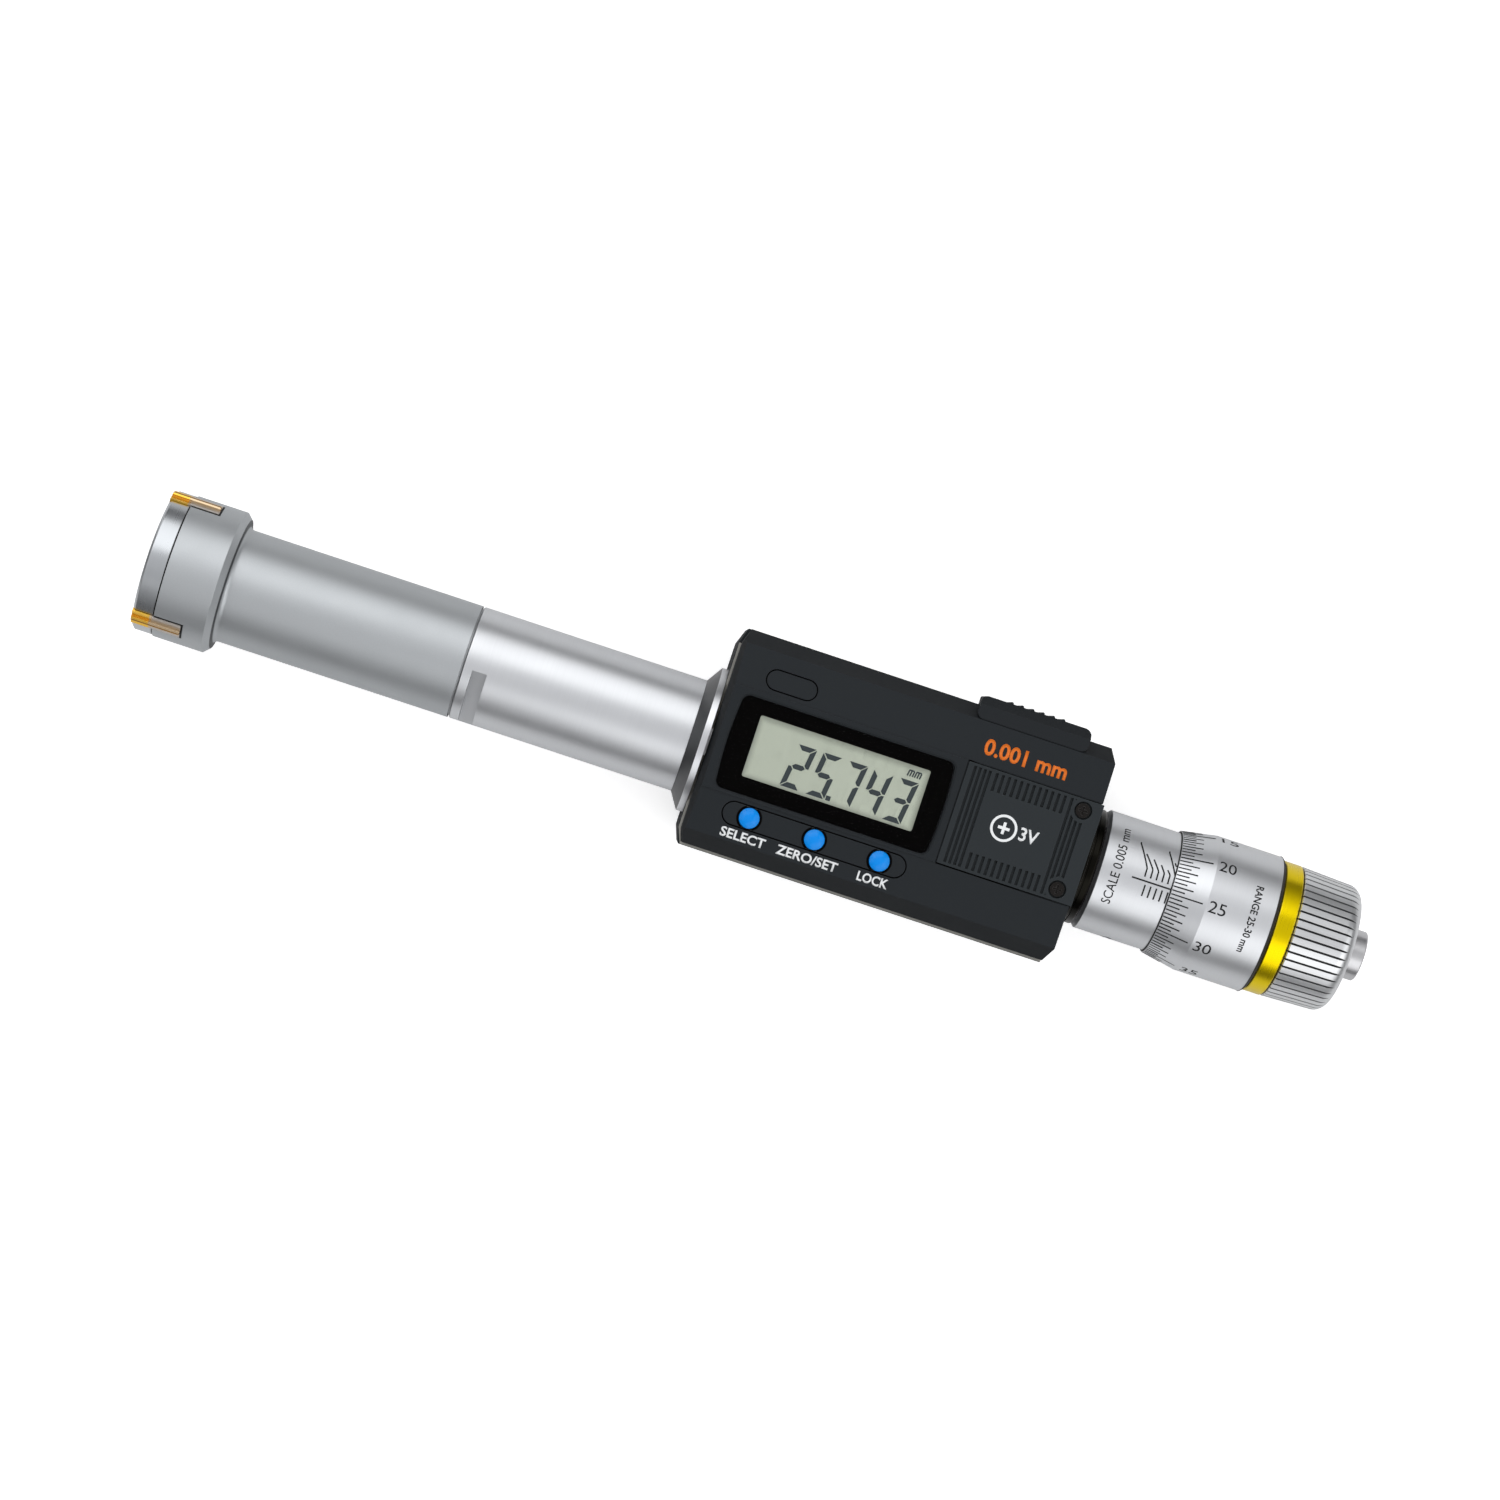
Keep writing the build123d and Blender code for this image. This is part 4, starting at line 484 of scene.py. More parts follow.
@dataclass(frozen=True)
class MouldedFinish(Finish):
    """A moulded plastic or rubber surface, darker and duller on its steep sides."""

    texture_size: float = 0.16
    texture_depth: float = 0.006
    swing: float = 0.12
    edge_radius: float = 0.15
    edge_rub_and_highlight: float = 0.25
    side_shade: float = 0.0
    specular: float = 0.5
    cloud_size: float = 9.0
    cloud_swing: float = 0.15
    side_slopes: Point = (0.95, 0.6)
    side_level: float = 0.45
    side_dulling: float = 0.3

    def dress(self, surface: SurfaceSketch) -> None:
        """Gives the plastic its colour, sheen and relief.

        Args:
            surface: The material that is being built.
        """
        grain = surface.effect(Grain.BLASTED.value, Size=self.texture_size)["Fac"]
        cloud = surface.effect("handling", Size=self.cloud_size)["Fac"]
        edge = surface.effect("rubbed_and_highlit_edges", Radius=self.edge_radius)
        steep = surface.rise(surface.effect("slope")["Up"], *self.side_slopes)
        side = surface.math("MULTIPLY", steep, self.side_shade)
        mottled = surface.mottle(grain, self.colour, 1 - self.swing, 1 + self.swing)
        shaded = surface.blend(side, mottled, scaled(self.colour, self.side_level))
        # Edges are paled partly as wear and partly as a painted highlight.
        wear_and_glint = surface.math("MULTIPLY", edge["Mask"], self.edge_rub_and_highlight)
        paler = scaled(self.colour, 1.8, 0.02)
        surface.set("Base Color", surface.blend(wear_and_glint, shaded, paler))
        clouded = surface.vary(cloud, self.roughness, self.roughness * self.cloud_swing)
        dulled = surface.math("MULTIPLY", side, self.side_dulling)
        surface.set("Roughness", surface.math("ADD", clouded, dulled))
        surface.relief(grain, self.texture_depth, edge["Normal"])
        surface.set("Specular IOR Level", self.specular)


@dataclass(frozen=True)
class InkFinish(Finish):
    """Printed or filled-in colour of lettering and marks; the black inks also paint shade into joints, gaps
    and grooves.
    """

    specular: float = 0.3
    grain_size: float = 0.08
    colour_swing: Point = (0.88, 1.08)
    roughness_swing: float = 0.06

    def dress(self, surface: SurfaceSketch) -> None:
        """Gives the ink its colour and sheen.

        Args:
            surface: The material that is being built.
        """
        grain = surface.effect(Grain.BLASTED.value, Size=self.grain_size)["Fac"]
        surface.set("Base Color", surface.mottle(grain, self.colour, *self.colour_swing))
        surface.set("Roughness", surface.vary(grain, self.roughness, self.roughness_swing))
        surface.set("Specular IOR Level", self.specular)


@dataclass(frozen=True)
class ClearFinish(Finish):
    """A thin clear cover that leaves what is under it in plain sight."""

    alpha: float = 0.1
    specular: float = 0.06
    cloud_size: float = 4.0
    cloud_swing: float = 0.4

    def dress(self, surface: SurfaceSketch) -> None:
        """Gives the cover its faint tint and sheen.

        Args:
            surface: The material that is being built.
        """
        cloud = surface.effect("handling", Size=self.cloud_size)["Fac"]
        surface.set("Roughness", surface.vary(cloud, self.roughness, self.roughness * self.cloud_swing))
        surface.set("Base Color", self.colour)
        surface.set("Alpha", self.alpha)
        surface.set("Specular IOR Level", self.specular)
        surface.material.surface_render_method = "BLENDED"


@dataclass(frozen=True)
class CrystalFinish(Finish):
    """The grey-green pane of the display, in the shade of its frame along the edges."""

    cloud_size: float = 14.0
    colour_swing: float = 0.06
    roughness_swing: float = 0.05
    edge_reach: Point = (0.045, 0.13)
    edge_shade: float = 0.75
    edge_level: float = 0.45

    def dress(self, surface: SurfaceSketch) -> None:
        """Gives the pane its colour and sheen.

        Args:
            surface: The material that is being built.
        """
        cloud = surface.effect("handling", Size=self.cloud_size)["Fac"]
        clouded = surface.mottle(cloud, self.colour, 1 - self.colour_swing, 1 + self.colour_swing)
        shares = []
        for part, reach in zip(surface.split("Generated"), self.edge_reach):
            away = surface.math("ABSOLUTE", surface.math("SUBTRACT", part, 0.5))
            shares.append(surface.rise(away, 0.5 - reach, 0.5))
        shade = surface.math("MULTIPLY", surface.math("MAXIMUM", *shares), self.edge_shade)
        surface.set("Base Color", surface.blend(shade, clouded, scaled(self.colour, self.edge_level)))
        surface.set("Roughness", surface.vary(cloud, self.roughness, self.roughness_swing))


METALS = (
    MetalFinish(
        "satin_head_steel", (0.47, 0.49, 0.505), 0.46, Grain.BLASTED, 0.16, 0.004, 0.08, end_shade=0.8
    ),
    MetalFinish("bright_ring_steel", (0.5, 0.52, 0.54), 0.26, Grain.TURNED, 0.1, 0.0015, 0.05),
    MetalFinish("satin_chrome", (0.63, 0.643, 0.662), 0.36, Grain.TURNED, 0.12, 0.0015, 0.05),
    MetalFinish("collar_chrome", (0.66, 0.67, 0.69), 0.3, Grain.TURNED, 0.12, 0.0015, 0.05, end_shade=1.0),
    MetalFinish("contact_steel", (0.56, 0.52, 0.48), 0.38, Grain.BLASTED, 0.1, 0.002, 0.06),
    TipFinish("gold_coating", (0.84, 0.5, 0.07), 0.2, Grain.BLASTED, 0.1, 0.0015, 0.1, 0.06),
    MetalFinish("black_screws", (0.022, 0.02, 0.019), 0.34, Grain.TURNED, 0.06, 0.002, 0.3, 0.08, 0.35),
    MetalFinish("inner_steel", (0.55, 0.55, 0.56), 0.3),
    MetalFinish("nut_brass", (0.72, 0.55, 0.25), 0.3),
    MetalFinish("spring_steel", (0.5, 0.5, 0.51), 0.28),
    MetalFinish("frame_aluminium", (0.68, 0.68, 0.7), 0.36),
    MetalFinish("battery_steel", (0.62, 0.62, 0.63), 0.25),
    MetalFinish("black_ring", (0.008, 0.0075, 0.006), 0.2, Grain.TURNED, 0.15, 0.001, 0.15, 0.1),
    MetalFinish("yellow_anodised", (0.78, 0.59, 0.003), 0.26, Grain.TURNED, 0.14, 0.001, 0.05),
    MetalFinish(
        "knob_steel", (0.66, 0.67, 0.68), 0.33, Grain.BLASTED, 0.13, 0.004, 0.08, 0.06, groove_shade=0.75
    ),
)
PLASTICS = (
    MouldedFinish(
        "housing_plastic", (0.0088, 0.0119, 0.0147), 0.5,
        edge_radius=0.22, edge_rub_and_highlight=0.6, side_shade=0.7, specular=0.22,
    ),
    MouldedFinish(
        "cap_plastic", (0.0085, 0.011, 0.0135), 0.46,
        texture_depth=0.004, edge_rub_and_highlight=0.5, side_shade=0.3, specular=0.22,
    ),
    MouldedFinish("board", (0.02, 0.12, 0.05), 0.4),
    MouldedFinish("soft_seal", (0.012, 0.012, 0.012), 0.7),
    MouldedFinish(
        "cover_plastic", (0.0135, 0.018, 0.0212), 0.46,
        edge_radius=0.22, edge_rub_and_highlight=0.8, side_shade=0.7, specular=0.27,
    ),
    MouldedFinish(
        "blue_buttons", (0.0005, 0.25, 0.8), 0.16, 0.1, 0.0005, 0.03, side_shade=0.95, specular=0.22
    ),
    MouldedFinish("pale_highlight", (0.3, 0.295, 0.27), 0.5),
)
GLASS_AND_INKS = (
    ClearFinish("window_plastic", (0.002, 0.002, 0.002), 0.06),
    CrystalFinish("display_glass", (0.58, 0.635, 0.52), 0.4),
    InkFinish("white_print", (0.82, 0.84, 0.85)),
    InkFinish("orange_print", (0.76, 0.165, 0.012)),
    InkFinish("black_fill", (0.004, 0.0045, 0.005), 0.6),
    InkFinish("display_segment", (0.042, 0.055, 0.06), 0.4),
    InkFinish("window_print", (0.0012, 0.001, 0.001), 0.12, 0.03),
)
NUMBERS = (1, 2, 3)
NODE_FINISHES = {
    "satin_head_steel": ["head_body"],
    "bright_ring_steel": ["head_ring"],
    "satin_chrome": ["extension_tube", "sleeve", "thimble"],
    "collar_chrome": ["collar"],
    "contact_steel": [f"contact_carrier_{number}" for number in NUMBERS],
    "gold_coating": [f"contact_tip_{number}" for number in NUMBERS],
    "black_screws": ["head_screws", "case_screws", "battery_cover_screws"],
    "inner_steel": [
        "cone", "push_rod", "thrust_ball", "spindle", "ratchet_screw", "ratchet_plate", "encoder_stator",
        "encoder_rotor",
    ],
    "nut_brass": ["inner_sleeve", "taper_nut", "front_bush", "rear_bush", "ratchet_ring"],
    "spring_steel": [
        "rod_spring", "ratchet_spring", "battery_contact",
        *(f"contact_spring_{number}" for number in NUMBERS),
    ],
    "frame_aluminium": ["main_frame"],
    "housing_plastic": ["front_cover", "rear_cover"],
    "cover_plastic": ["battery_cover"],
    "cap_plastic": ["connector_cap", "data_socket"],
    "board": ["circuit_board"],
    "soft_seal": ["housing_gasket", "button_mat", "battery_seal"],
    "blue_buttons": [f"button_{number}" for number in NUMBERS],
    "battery_steel": ["battery"],
    "black_ring": ["seal_ring"],
    "yellow_anodised": ["colour_ring"],
    "knob_steel": ["ratchet_knob"],
    "window_plastic": ["display_window"],
    "display_glass": ["display_panel"],
}


class Finishes:
    """Builds every finish once and puts them on the CAD nodes."""

    def __init__(self) -> None:
        """Builds the materials."""
        effects = SharedEffects()
        every = (*METALS, *PLASTICS, *GLASS_AND_INKS)
        self.made = {finish.name: finish.build(effects) for finish in every}

    def dress_nodes(self) -> None:
        """Puts its finish on every CAD node."""
        for name, nodes in NODE_FINISHES.items():
            for node in nodes:
                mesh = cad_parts[node].data
                mesh.materials.clear()
                mesh.materials.append(self.made[name])
            log.info("finish %s on %d nodes", name, len(nodes))


# Flat forms and how they are laid on the object


def link(name: str, data: bpy.types.ID) -> bpy.types.Object:
    """Makes an object and puts it in the scene.

    Args:
        name: The object's name.
        data: Its mesh, curve, lamp or camera.

    Returns:
        The object.
    """
    item = bpy.data.objects.new(name, data)
    bpy.context.scene.collection.objects.link(item)
    return item


def to_mesh(form: Form, name: str) -> bpy.types.Mesh:
    """Turns a form into a mesh, which uses the form up.

    Args:
        form: The form.
        name: The mesh's name.

    Returns:
        The mesh.
    """
    mesh = bpy.data.meshes.new(name)
    form.to_mesh(mesh)
    form.free()
    return mesh


def add_mesh(target: Form, mesh: bpy.types.Mesh) -> None:
    """Adds a mesh's faces to a form, which uses the mesh up."""
    target.from_mesh(mesh)
    bpy.data.meshes.remove(mesh)


def letters(text: str, width: float, height: float, weight: float) -> Form:
    """Makes flat lettering that fills a box exactly.

    Args:
        text: What it says.
        width: The lettering's width in millimetres.
        height: The lettering's height in millimetres.
        weight: How much bolder the strokes get, as a share of the letter size.

    Returns:
        The flat faces, with the lower left corner at the origin.
    """
    curve = bpy.data.curves.new("lettering", "FONT")
    curve.body = text
    curve.offset = weight
    curve.resolution_u = 4
    holder = link("lettering", curve)
    bpy.context.view_layer.update()
    graph = bpy.context.evaluated_depsgraph_get()
    mesh = bpy.data.meshes.new_from_object(holder.evaluated_get(graph))
    bpy.data.objects.remove(holder)
    bpy.data.curves.remove(curve)
    flat = bmesh.new()
    add_mesh(flat, mesh)
    bmesh.ops.remove_doubles(flat, verts=flat.verts, dist=1e-5)
    across = [vert.co.x for vert in flat.verts]
    along = [vert.co.y for vert in flat.verts]
    left, bottom = min(across), min(along)
    wide, tall = max(across) - left, max(along) - bottom
    for vert in flat.verts:
        vert.co = Vector(((vert.co.x - left) * width / wide, (vert.co.y - bottom) * height / tall, 0))
    return flat


def stroke(flat: Form, points: Sequence[Point], width: float) -> None:
    """Adds a flat line of even width along a path.

    Args:
        flat: The form that the line joins.
        points: The path's points in millimetres.
        width: The line's width in millimetres.
    """
    path = [Vector((*point, 0)) for point in points]
    rows = []
    for index, point in enumerate(path):
        before = path[max(index - 1, 0)]
        after = path[min(index + 1, len(path) - 1)]
        way = (after - before).normalized()
        side = Vector((-way.y, way.x, 0)) * width / 2
        rows.append((flat.verts.new(point + side), flat.verts.new(point - side)))
    for (upper, lower), (next_upper, next_lower) in zip(rows, rows[1:]):
        flat.faces.new((lower, next_lower, next_upper, upper))


def circle(radius: float, steps: int, middle: Point = (0.0, 0.0)) -> list[Point]:
    """Gives the points of a closed circle."""
    turns = [2 * math.pi * step / steps for step in range(steps + 1)]
    return [(middle[0] + radius * math.cos(turn), middle[1] + radius * math.sin(turn)) for turn in turns]


def patch(flat: Form, corners: Iterable[Point]) -> None:
    """Adds one flat face from its corners, in millimetres."""
    flat.faces.new([flat.verts.new((x, y, 0)) for x, y in corners])


def turn_flat(flat: Form, degrees: float) -> None:
    """Turns a flat form about its origin, counterclockwise."""
    bmesh.ops.rotate(flat, verts=flat.verts, matrix=Matrix.Rotation(math.radians(degrees), 3, "Z"))


def cut_rows(flat: Form, pitch: float) -> None:
    """Cuts a flat form into rows, so that it can follow a round surface.

    Args:
        flat: The form.
        pitch: The height of a row in millimetres.
    """
    heights = [vert.co.y for vert in flat.verts]
    level = min(heights) + pitch
    while level < max(heights):
        everything = [*flat.verts, *flat.edges, *flat.faces]
        bmesh.ops.bisect_plane(flat, geom=everything, plane_co=(0, level, 0), plane_no=(0, 1, 0))
        level += pitch


def round_point(along: float, radius: float, angle: float) -> Vector:
    """Gives a point about the measuring axis, in metres, from millimetres and an angle from straight up."""
    return Vector((along, radius * math.sin(angle), AXIS_HEIGHT + radius * math.cos(angle))) * MM


def face_outward(flat: Form, outward: Callable[[Vector], Vector]) -> None:
    """Turns every face so that it looks away from the object.

    Args:
        flat: The laid form.
        outward: Gives the outward direction at a point.
    """
    flat.normal_update()
    wrong = [face for face in flat.faces if face.normal.dot(outward(face.calc_center_median())) < 0]
    bmesh.ops.reverse_faces(flat, faces=wrong)


def face_up(flat: Form) -> None:
    """Turns every face of a laid form to the display side."""
    face_outward(flat, lambda place: Vector((0, 0, 1)))


@dataclass
class PrintPlace:
    """A place on the housing where flat forms are laid on the surface under them."""

    node: str
    lift: float = 0.012
    drop_from: float = 100.0

    def __post_init__(self) -> None:
        """Reads the node's surface."""
        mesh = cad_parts[self.node].data
        corners = [vert.co.copy() for vert in mesh.vertices]
        self.surface = BVHTree.FromPolygons(corners, [tuple(face.vertices) for face in mesh.polygons])

    def lay(self, flat: Form, left: float = 0.0, bottom: float = 0.0) -> None:
        """Drops a flat form on the node, from above.

        Args:
            flat: The form, in millimetres.
            left: Where its origin goes along X, in millimetres.
            bottom: Where its origin goes along Y, in millimetres.
        """
        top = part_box(self.node)[1].z
        for vert in flat.verts:
            x, y = (vert.co.x + left) * MM, (vert.co.y + bottom) * MM
            hit = self.surface.ray_cast(Vector((x, y, self.drop_from * MM)), Vector((0, 0, -1)))[0]
            vert.co = Vector((x, y, (hit.z if hit else top) + self.lift * MM))
        face_up(flat)


@dataclass
class RoundPlace:
    """A round surface about the measuring axis that flat forms are wrapped on."""

    stations: Sequence[Point]
    middle_angle: float = 0.0
    lift: float = 0.01
    pitch: float = 0.3

    def radius(self, x: float) -> float:
        """Gives the surface's radius.

        Args:
            x: The place along the axis in millimetres.

        Returns:
            The radius in millimetres.
        """
        for (start, first), (end, last) in zip(self.stations, self.stations[1:]):
            if x <= end:
                share = max(0.0, (x - start) / (end - start))
                return first + (last - first) * share
        return self.stations[-1][1]

    def wrap(self, flat: Form, x: float, height: float, reference: float) -> None:
        """Wraps a flat form on the surface.

        Args:
            flat: The form, in millimetres, with Y running up round the surface.
            x: Where its origin goes along the axis.
            height: Where its origin goes round the surface, as a length at the reference radius.
            reference: The radius at which the form keeps its height.
        """
        cut_rows(flat, self.pitch)
        for vert in flat.verts:
            along = vert.co.x + x
            angle = (vert.co.y + height) / reference + math.radians(self.middle_angle)
            vert.co = round_point(along, self.radius(along) + self.lift, angle)
        face_outward(flat, lambda place: Vector((0, place.y, place.z - AXIS_HEIGHT * MM)))


def ring_reach(ring: Sequence[Point], middle: Vector, way: Point) -> float:
    """Measures how far a bulging outline reaches from its middle.

    Args:
        ring: The outline's points, in order round the middle.
        middle: The middle.
        way: The direction, of length one.

    Returns:
        The distance to the outline in that direction.
    """
    reach, parallel, slack = 0.0, 1e-12, 1e-6
    for index, spot in enumerate(ring):
        start = Vector(ring[index - 1]) - middle.to_2d()
        step = Vector(spot) - middle.to_2d() - start
        turn = step.x * way[1] - step.y * way[0]
        if abs(turn) < parallel:
            continue
        share = (start.y * way[0] - start.x * way[1]) / turn
        length = (step.x * start.y - step.y * start.x) / turn
        if -slack <= share <= 1 + slack and length > 0:
            reach = max(reach, length)
    return reach


def box_reach(box: tuple[Point, Point], middle: Vector, way: Point, corner: float) -> float:
    """Measures how far a rounded opening reaches from a place inside it.

    Args:
        box: The opening's lower left and upper right corners.
        middle: The place.
        way: The direction, of length one.
        corner: The radius of its corners.

    Returns:
        The distance to the opening's edge in that direction.
    """
    (left, bottom), (right, top) = box
    low, high, halvings = 0.0, right - left + top - bottom, 40
    for _ in range(halvings):
        reach = (low + high) / 2
        x, y = middle.x + way[0] * reach, middle.y + way[1] * reach
        past_x = max(left + corner - x, x - right + corner, 0.0)
        past_y = max(bottom + corner - y, y - top + corner, 0.0)
        inside = math.hypot(past_x, past_y) < corner
        low, high = (reach, high) if inside else (low, reach)
    return low


# The instrument's own sub-assemblies


@dataclass
class SubAssembly:
    """A part of the instrument, with the body that its pieces ride on, and a record's slot name that nothing
    here reads.
    """

    finishes: Finishes
    body: Body = Body.HOUSING
    slot: str = "satin_chrome"

    def build(self) -> None:
        """Builds the pieces, which each sub-assembly does in its own way."""
        raise NotImplementedError

    def solid(self, form: Form, name: str, finish: str, body: Body | None = None) -> bpy.types.Object:
        """Makes a closed form into a piece that rides on a body.

        Args:
            form: The form, in place and in metres.
            name: The piece's name.
            finish: Its finish.
            body: The body that it rides on, if not the usual one.

        Returns:
            The piece.
        """
        bmesh.ops.recalc_face_normals(form, faces=form.faces)
        mesh = to_mesh(form, name)
        piece = link(name, mesh)
        mesh.materials.append(self.finishes.made[finish])
        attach(piece, (body or self.body).value)
        log.info("piece %s: %d faces", name, len(mesh.polygons))
        return piece

    def thin(self, flat: Form, name: str, finish: str = "black_fill", depth: float = 0.03) -> None:
        """Makes a laid form into a thin solid piece.

        Args:
            flat: The form, in place and in metres.
            name: The piece's name.
            finish: Its finish.
            depth: How far it goes into the surface, in millimetres.
        """
        thickness = self.solid(flat, name, finish).modifiers.new("thickness", "SOLIDIFY")
        thickness.thickness = depth * MM
        thickness.offset = -1.0


@dataclass
class Display(SubAssembly):
    """The display's digits, point and unit."""

    slot: str = "display_glass"
    reading: str = "25.743"
    digit_height: float = 7.4
    digit_width: float = 3.3
    digit_pitch: float = 4.42
    bar: float = 0.86
    gap: float = 0.12
    slant: float = 0.125
    right_inset: float = 1.3
    bottom_inset: float = 0.8
    point_gap: float = 0.2
    point_share: float = 0.95
    unit_size: float = 1.12
    unit_line: float = 0.26
    unit_space: float = 0.12
    unit_lift: float = 0.68
    unit_legs: float = 0.84
    unit_shoulder: float = 0.2
    lift: float = 0.02
    depth: float = 0.04
    segments: dict[str, str] = field(
        default_factory=lambda: {"2": "abged", "5": "afgcd", "7": "abc", "4": "fgbc", "3": "abgcd"}
    )

    def segment(self, name: str) -> list[Point]:
        """Gives the outline of one bar of a digit.

        Args:
            name: The bar's letter, from a at the top round to f, and g in the middle.

        Returns:
            Its corners in millimetres, upright, with the digit's lower left corner at the origin.
        """
        wide, tall, gap, half = self.digit_width, self.digit_height, self.gap, self.bar / 2
        left, right = half + gap, wide - half - gap
        if name == "g":
            return [
                (left, tall / 2), (left + half, tall / 2 - half), (right - half, tall / 2 - half),
                (right, tall / 2), (right - half, tall / 2 + half), (left + half, tall / 2 + half),
            ]
        if name in "ad":
            level, outer = (tall - half, half) if name == "a" else (half, -half)
            return [
                (left - half, level + outer), (left + half, level - outer),
                (right - half, level - outer), (right + half, level + outer),
            ]
        middle, outward = (half, -half) if name in "ef" else (wide - half, half)
        low, high = (left, tall / 2 - gap) if name in "ce" else (tall / 2 + gap, tall - left)
        end_low, end_high = (low - half, high) if name in "ce" else (low, high + half)
        return [
            (middle + outward, end_low), (middle + outward, end_high), (middle, high),
            (middle - outward, high - half), (middle - outward, low + half), (middle, low),
        ]

    def digits(self) -> Form:
        """Builds the reading's digits, the point and the unit.

        Returns:
            The flat form in place on the pane, in millimetres.
        """
        low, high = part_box("display_panel")
        right = high.x / MM - self.right_inset
        bottom = low.y / MM + self.bottom_inset
        flat = bmesh.new()
        figures = [mark for mark in self.reading if mark != "."]
        first = right - self.digit_width - self.digit_pitch * (len(figures) - 1)
        lean = self.slant * self.digit_height
        for index, figure in enumerate(figures):
            left = first + index * self.digit_pitch - lean
            for name in self.segments[figure]:
                corners = self.segment(name)
                patch(flat, [(x + left + y * self.slant, y + bottom) for x, y in corners])
        whole = self.reading.index(".")
        left = first + (whole - 1) * self.digit_pitch + self.digit_width + self.point_gap - lean
        side = self.bar * self.point_share
        square = ((0.0, 0.0), (side, 0.0), (side, side), (0.0, side))
        patch(flat, [(left + x, bottom + y) for x, y in square])
        self.unit(flat, right, bottom + self.digit_height + self.unit_lift)
        return flat

    def unit(self, flat: Form, right: float, bottom: float) -> None:
        """Adds the small unit sign above the last digit.

        Args:
            flat: The form that it joins.
            right: Its right end in millimetres.
            bottom: Its foot in millimetres.
        """
        size, line = self.unit_size, self.unit_line
        leg_height = size * self.unit_legs
        for letters_left in (2, 1):
            left = right - letters_left * (size + self.unit_space)
            for share in (0.0, 0.5, 1.0):
                x = left + line / 2 + share * (size - line)
                stroke(flat, [(x, bottom), (x + self.slant * size, bottom + leg_height)], line)
            top = bottom + size - line / 2
            stroke(flat, [(left + self.unit_shoulder, top), (left + size, top)], line)

    def build(self) -> None:
        """Builds the digits on the pane."""
        flat = self.digits()
        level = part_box("display_panel")[1].z + self.lift * MM
        for vert in flat.verts:
            vert.co = Vector((vert.co.x * MM, vert.co.y * MM, level))
        face_up(flat)
        self.thin(flat, "display_digits", "display_segment", self.depth)


@dataclass
class WindowBorder(SubAssembly):
    """The black print on the window's underside, with its opening over the pane."""

    slot: str = "window_plastic"
    inset: float = 0.12
    lift: float = 0.06
    depth: float = 0.05
    lap: tuple[float, float, float, float] = (0.2, 0.28, 0.1, 0.0)
    corner: float = 0.35
    steps: int = 720
    top_tolerance: float = 0.01

    def build(self) -> None:
        """Builds the print between the window's outline and the opening."""
        low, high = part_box("display_window")
        pane_low, pane_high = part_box("display_panel")
        left, bottom, right, top = (share * MM for share in self.lap)
        opening = (pane_low.x + left, pane_low.y + bottom), (pane_high.x - right, pane_high.y - top)
        middle = (low + high) / 2
        top_face = high.z - self.top_tolerance * MM
        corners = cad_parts["display_window"].data.vertices
        rim = {(vert.co.x, vert.co.y) for vert in corners if vert.co.z > top_face}
        ring = sorted(rim, key=lambda spot: math.atan2(spot[1] - middle.y, spot[0] - middle.x))
        level = low.z + self.lift * MM
        flat = bmesh.new()
        rows = []
        for step in range(self.steps):
            angle = 2 * math.pi * step / self.steps - math.pi
            way = (math.cos(angle), math.sin(angle))
            outer = ring_reach(ring, middle, way) - self.inset * MM
            inner = box_reach(opening, middle, way, self.corner * MM)
            rows.append([
                flat.verts.new((middle.x + way[0] * reach, middle.y + way[1] * reach, level))
                for reach in (outer, inner)
            ])
        for row, after in zip(rows, [*rows[1:], rows[0]]):
            flat.faces.new((row[0], after[0], after[1], row[1]))
        face_up(flat)
        self.thin(flat, "window_print", "window_print", self.depth)


